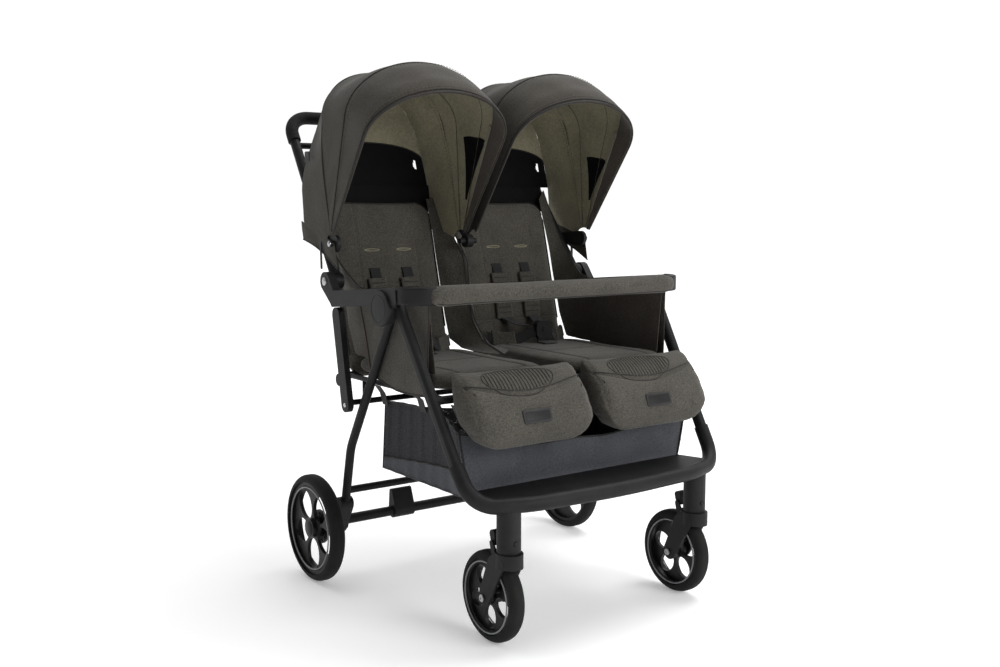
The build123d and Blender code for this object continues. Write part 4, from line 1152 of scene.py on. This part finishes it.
for side, sign in SIDES:
    out = (sign, 0, 0)
    rear_wheel, front_wheel = f"rear_wheel_{side}", f"front_wheel_{side}"
    front_ring = ring_profile(68, 1.4, 1.8)
    turned(f"rear_wheel_ring_{side}", ring_profile(90, 1.6, 1.8), mm(sign * 368.6, *REAR_AXLE), out,
           rear_wheel, ring_paint, 96)
    turned(f"front_wheel_ring_{side}", front_ring, mm(sign * 257.4, *FRONT_AXLE), out, front_wheel,
           ring_paint, 96)
    turned(f"front_wheel_ring_inner_{side}", front_ring, mm(sign * 224.6, *FRONT_AXLE), (-sign, 0, 0),
           front_wheel, ring_paint, 96)
    turned(f"rear_hub_cap_{side}", [(0, 0), (17, 0), (16.4, 3.0), (12, 5.2), (0, 6.0)],
           mm(sign * 367.5, *REAR_AXLE), out, rear_wheel, wheel_nylon, 40)
    turned(f"caster_cap_{side}", [(0, 0), (20, 0), (19.2, 3.0), (14, 5.6), (0, 6.6)],
           mm(sign * CASTER_X, -363, 270.2), (0, 0, 1), "chassis", moulded_nylon, 40)
    for face in (-1, 1):
        turned(f"fork_bolt_{side}_{'a' if face < 0 else 'b'}",
               [(0, 0), (7.6, 0), (7.6, 2.4), (6.4, 3.4), (3.6, 3.4), (3.4, 1.2), (0, 1.2)],
               mm(sign * CASTER_X + face * 24.4, *FRONT_AXLE), (face, 0, 0), f"caster_{side}", steel, 6)
    turned(f"hub_cover_ring_{side}", ring_profile(30, 1.0, 0.9), mm(sign * 359.6, *HUB), out,
           "chassis", wheel_nylon, 72)
    turned(f"hub_cover_disc_{side}", [(0, 0), (26, 0), (25, 1.0), (0, 1.8)], mm(sign * 359.6, *HUB), out,
           "chassis", moulded_nylon, 56)
    turned(f"fold_button_{side}", [(0, 0), (9, 0), (8.6, 2.0), (6, 3.0), (0, 3.4)],
           mm(sign * 354.6, 137, 663), out, "chassis", steel, 32)
    turned(f"link_rivet_low_{side}", [(0, 0), (5, 0), (4.4, 1.4), (0, 2.2)], mm(sign * 351.2, 62, 410), out,
           "chassis", steel, 24)
print("trim made")

# %% [markdown]
# Last come the floor, the studio light and the camera. The light is broad and soft from above and
# the right, with a weaker fill, so that dark cloth shows its weave and the shadow stays pale.

# %% Floor, light and camera
bpy.ops.object.select_all(action="DESELECT")
bpy.ops.mesh.primitive_plane_add(size=60, location=(0, 0, -0.0005))
floor = bpy.context.object
floor.name = "studio_floor"
paper, paper_shader, paper_place = start_material("studio_paper")
paper_shader.inputs["Base Color"].default_value = hex_colour("#F4F4F4")
paper_shader.inputs["Roughness"].default_value = 0.9
paper_shader.inputs["Emission Color"].default_value = hex_colour("#FFFFFF")
# the sweep grows brighter away from the object, so that only the shadow near it shows
paper_reach = add_node(paper, "ShaderNodeVectorMath", {0: paper_place}, operation="LENGTH")
paper_glow = add_node(paper, "ShaderNodeMapRange", {"Value": paper_reach.outputs["Value"], "From Min": 0.7,
                                                    "From Max": 3.2, "To Min": 0.26, "To Max": 0.62})
link(paper, paper_glow.outputs["Result"], paper_shader, "Emission Strength")
floor.data.materials.append(paper)

world = bpy.data.worlds.new("studio")
bpy.context.scene.world = world
world.use_nodes = True
# the room is white behind the object and dimmer on the camera's side, as round a lit studio sweep
room = world.node_tree.nodes
facing = room.new("ShaderNodeVectorMath")
facing.operation = "DOT_PRODUCT"
facing.inputs[1].default_value = (0.58, 0.80, 0.15)
world.node_tree.links.new(room.new("ShaderNodeTexCoord").outputs["Generated"], facing.inputs[0])
spread = room.new("ShaderNodeMapRange")
spread.interpolation_type = "SMOOTHSTEP"
for socket, value in (("From Min", -0.35), ("From Max", 0.62), ("To Min", 0.13), ("To Max", 1.02)):
    spread.inputs[socket].default_value = value
world.node_tree.links.new(facing.outputs["Value"], spread.inputs["Value"])
world.node_tree.links.new(spread.outputs["Result"], room["Background"].inputs["Strength"])
room["Background"].inputs["Color"].default_value = hex_colour("#FFFFFF")


def soft_light(name, place, target, size, watts):
    bpy.ops.object.light_add(type="AREA", location=place)
    lamp = bpy.context.object
    lamp.name = name
    lamp.data.shape, lamp.data.size, lamp.data.energy = "DISK", size, watts
    lamp.rotation_euler = (Vector(place) - Vector(target)).to_track_quat("Z", "Y").to_euler()


soft_light("key_light", (1.7, -0.4, 3.6), (0, 0, 0.5), 2.2, 62)
soft_light("front_light", (0.9, -3.6, 1.7), (0, 0, 0.6), 2.4, 92)
soft_light("side_fill", (-3.4, -1.2, 1.6), (0, 0, 0.6), 1.8, 4)
soft_light("top_light", (-0.2, 0.6, 3.6), (0, 0, 0.8), 2.6, 22)
bpy.context.scene.view_settings.view_transform = "Standard"

azimuth, elevation = math.radians(-35.79), math.radians(6.61)
back = Vector((math.sin(azimuth) * math.cos(elevation), -math.cos(azimuth) * math.cos(elevation),
               math.sin(elevation)))
camera_data = bpy.data.cameras.new("studio_camera")
camera_data.angle = math.radians(48.41)
camera = bpy.data.objects.new("studio_camera", camera_data)
bpy.context.scene.collection.objects.link(camera)
camera.location = (-1.4207, -1.9715, 0.8234)
camera.rotation_euler = back.to_track_quat("Z", "Y").to_euler()
bpy.context.scene.camera = camera
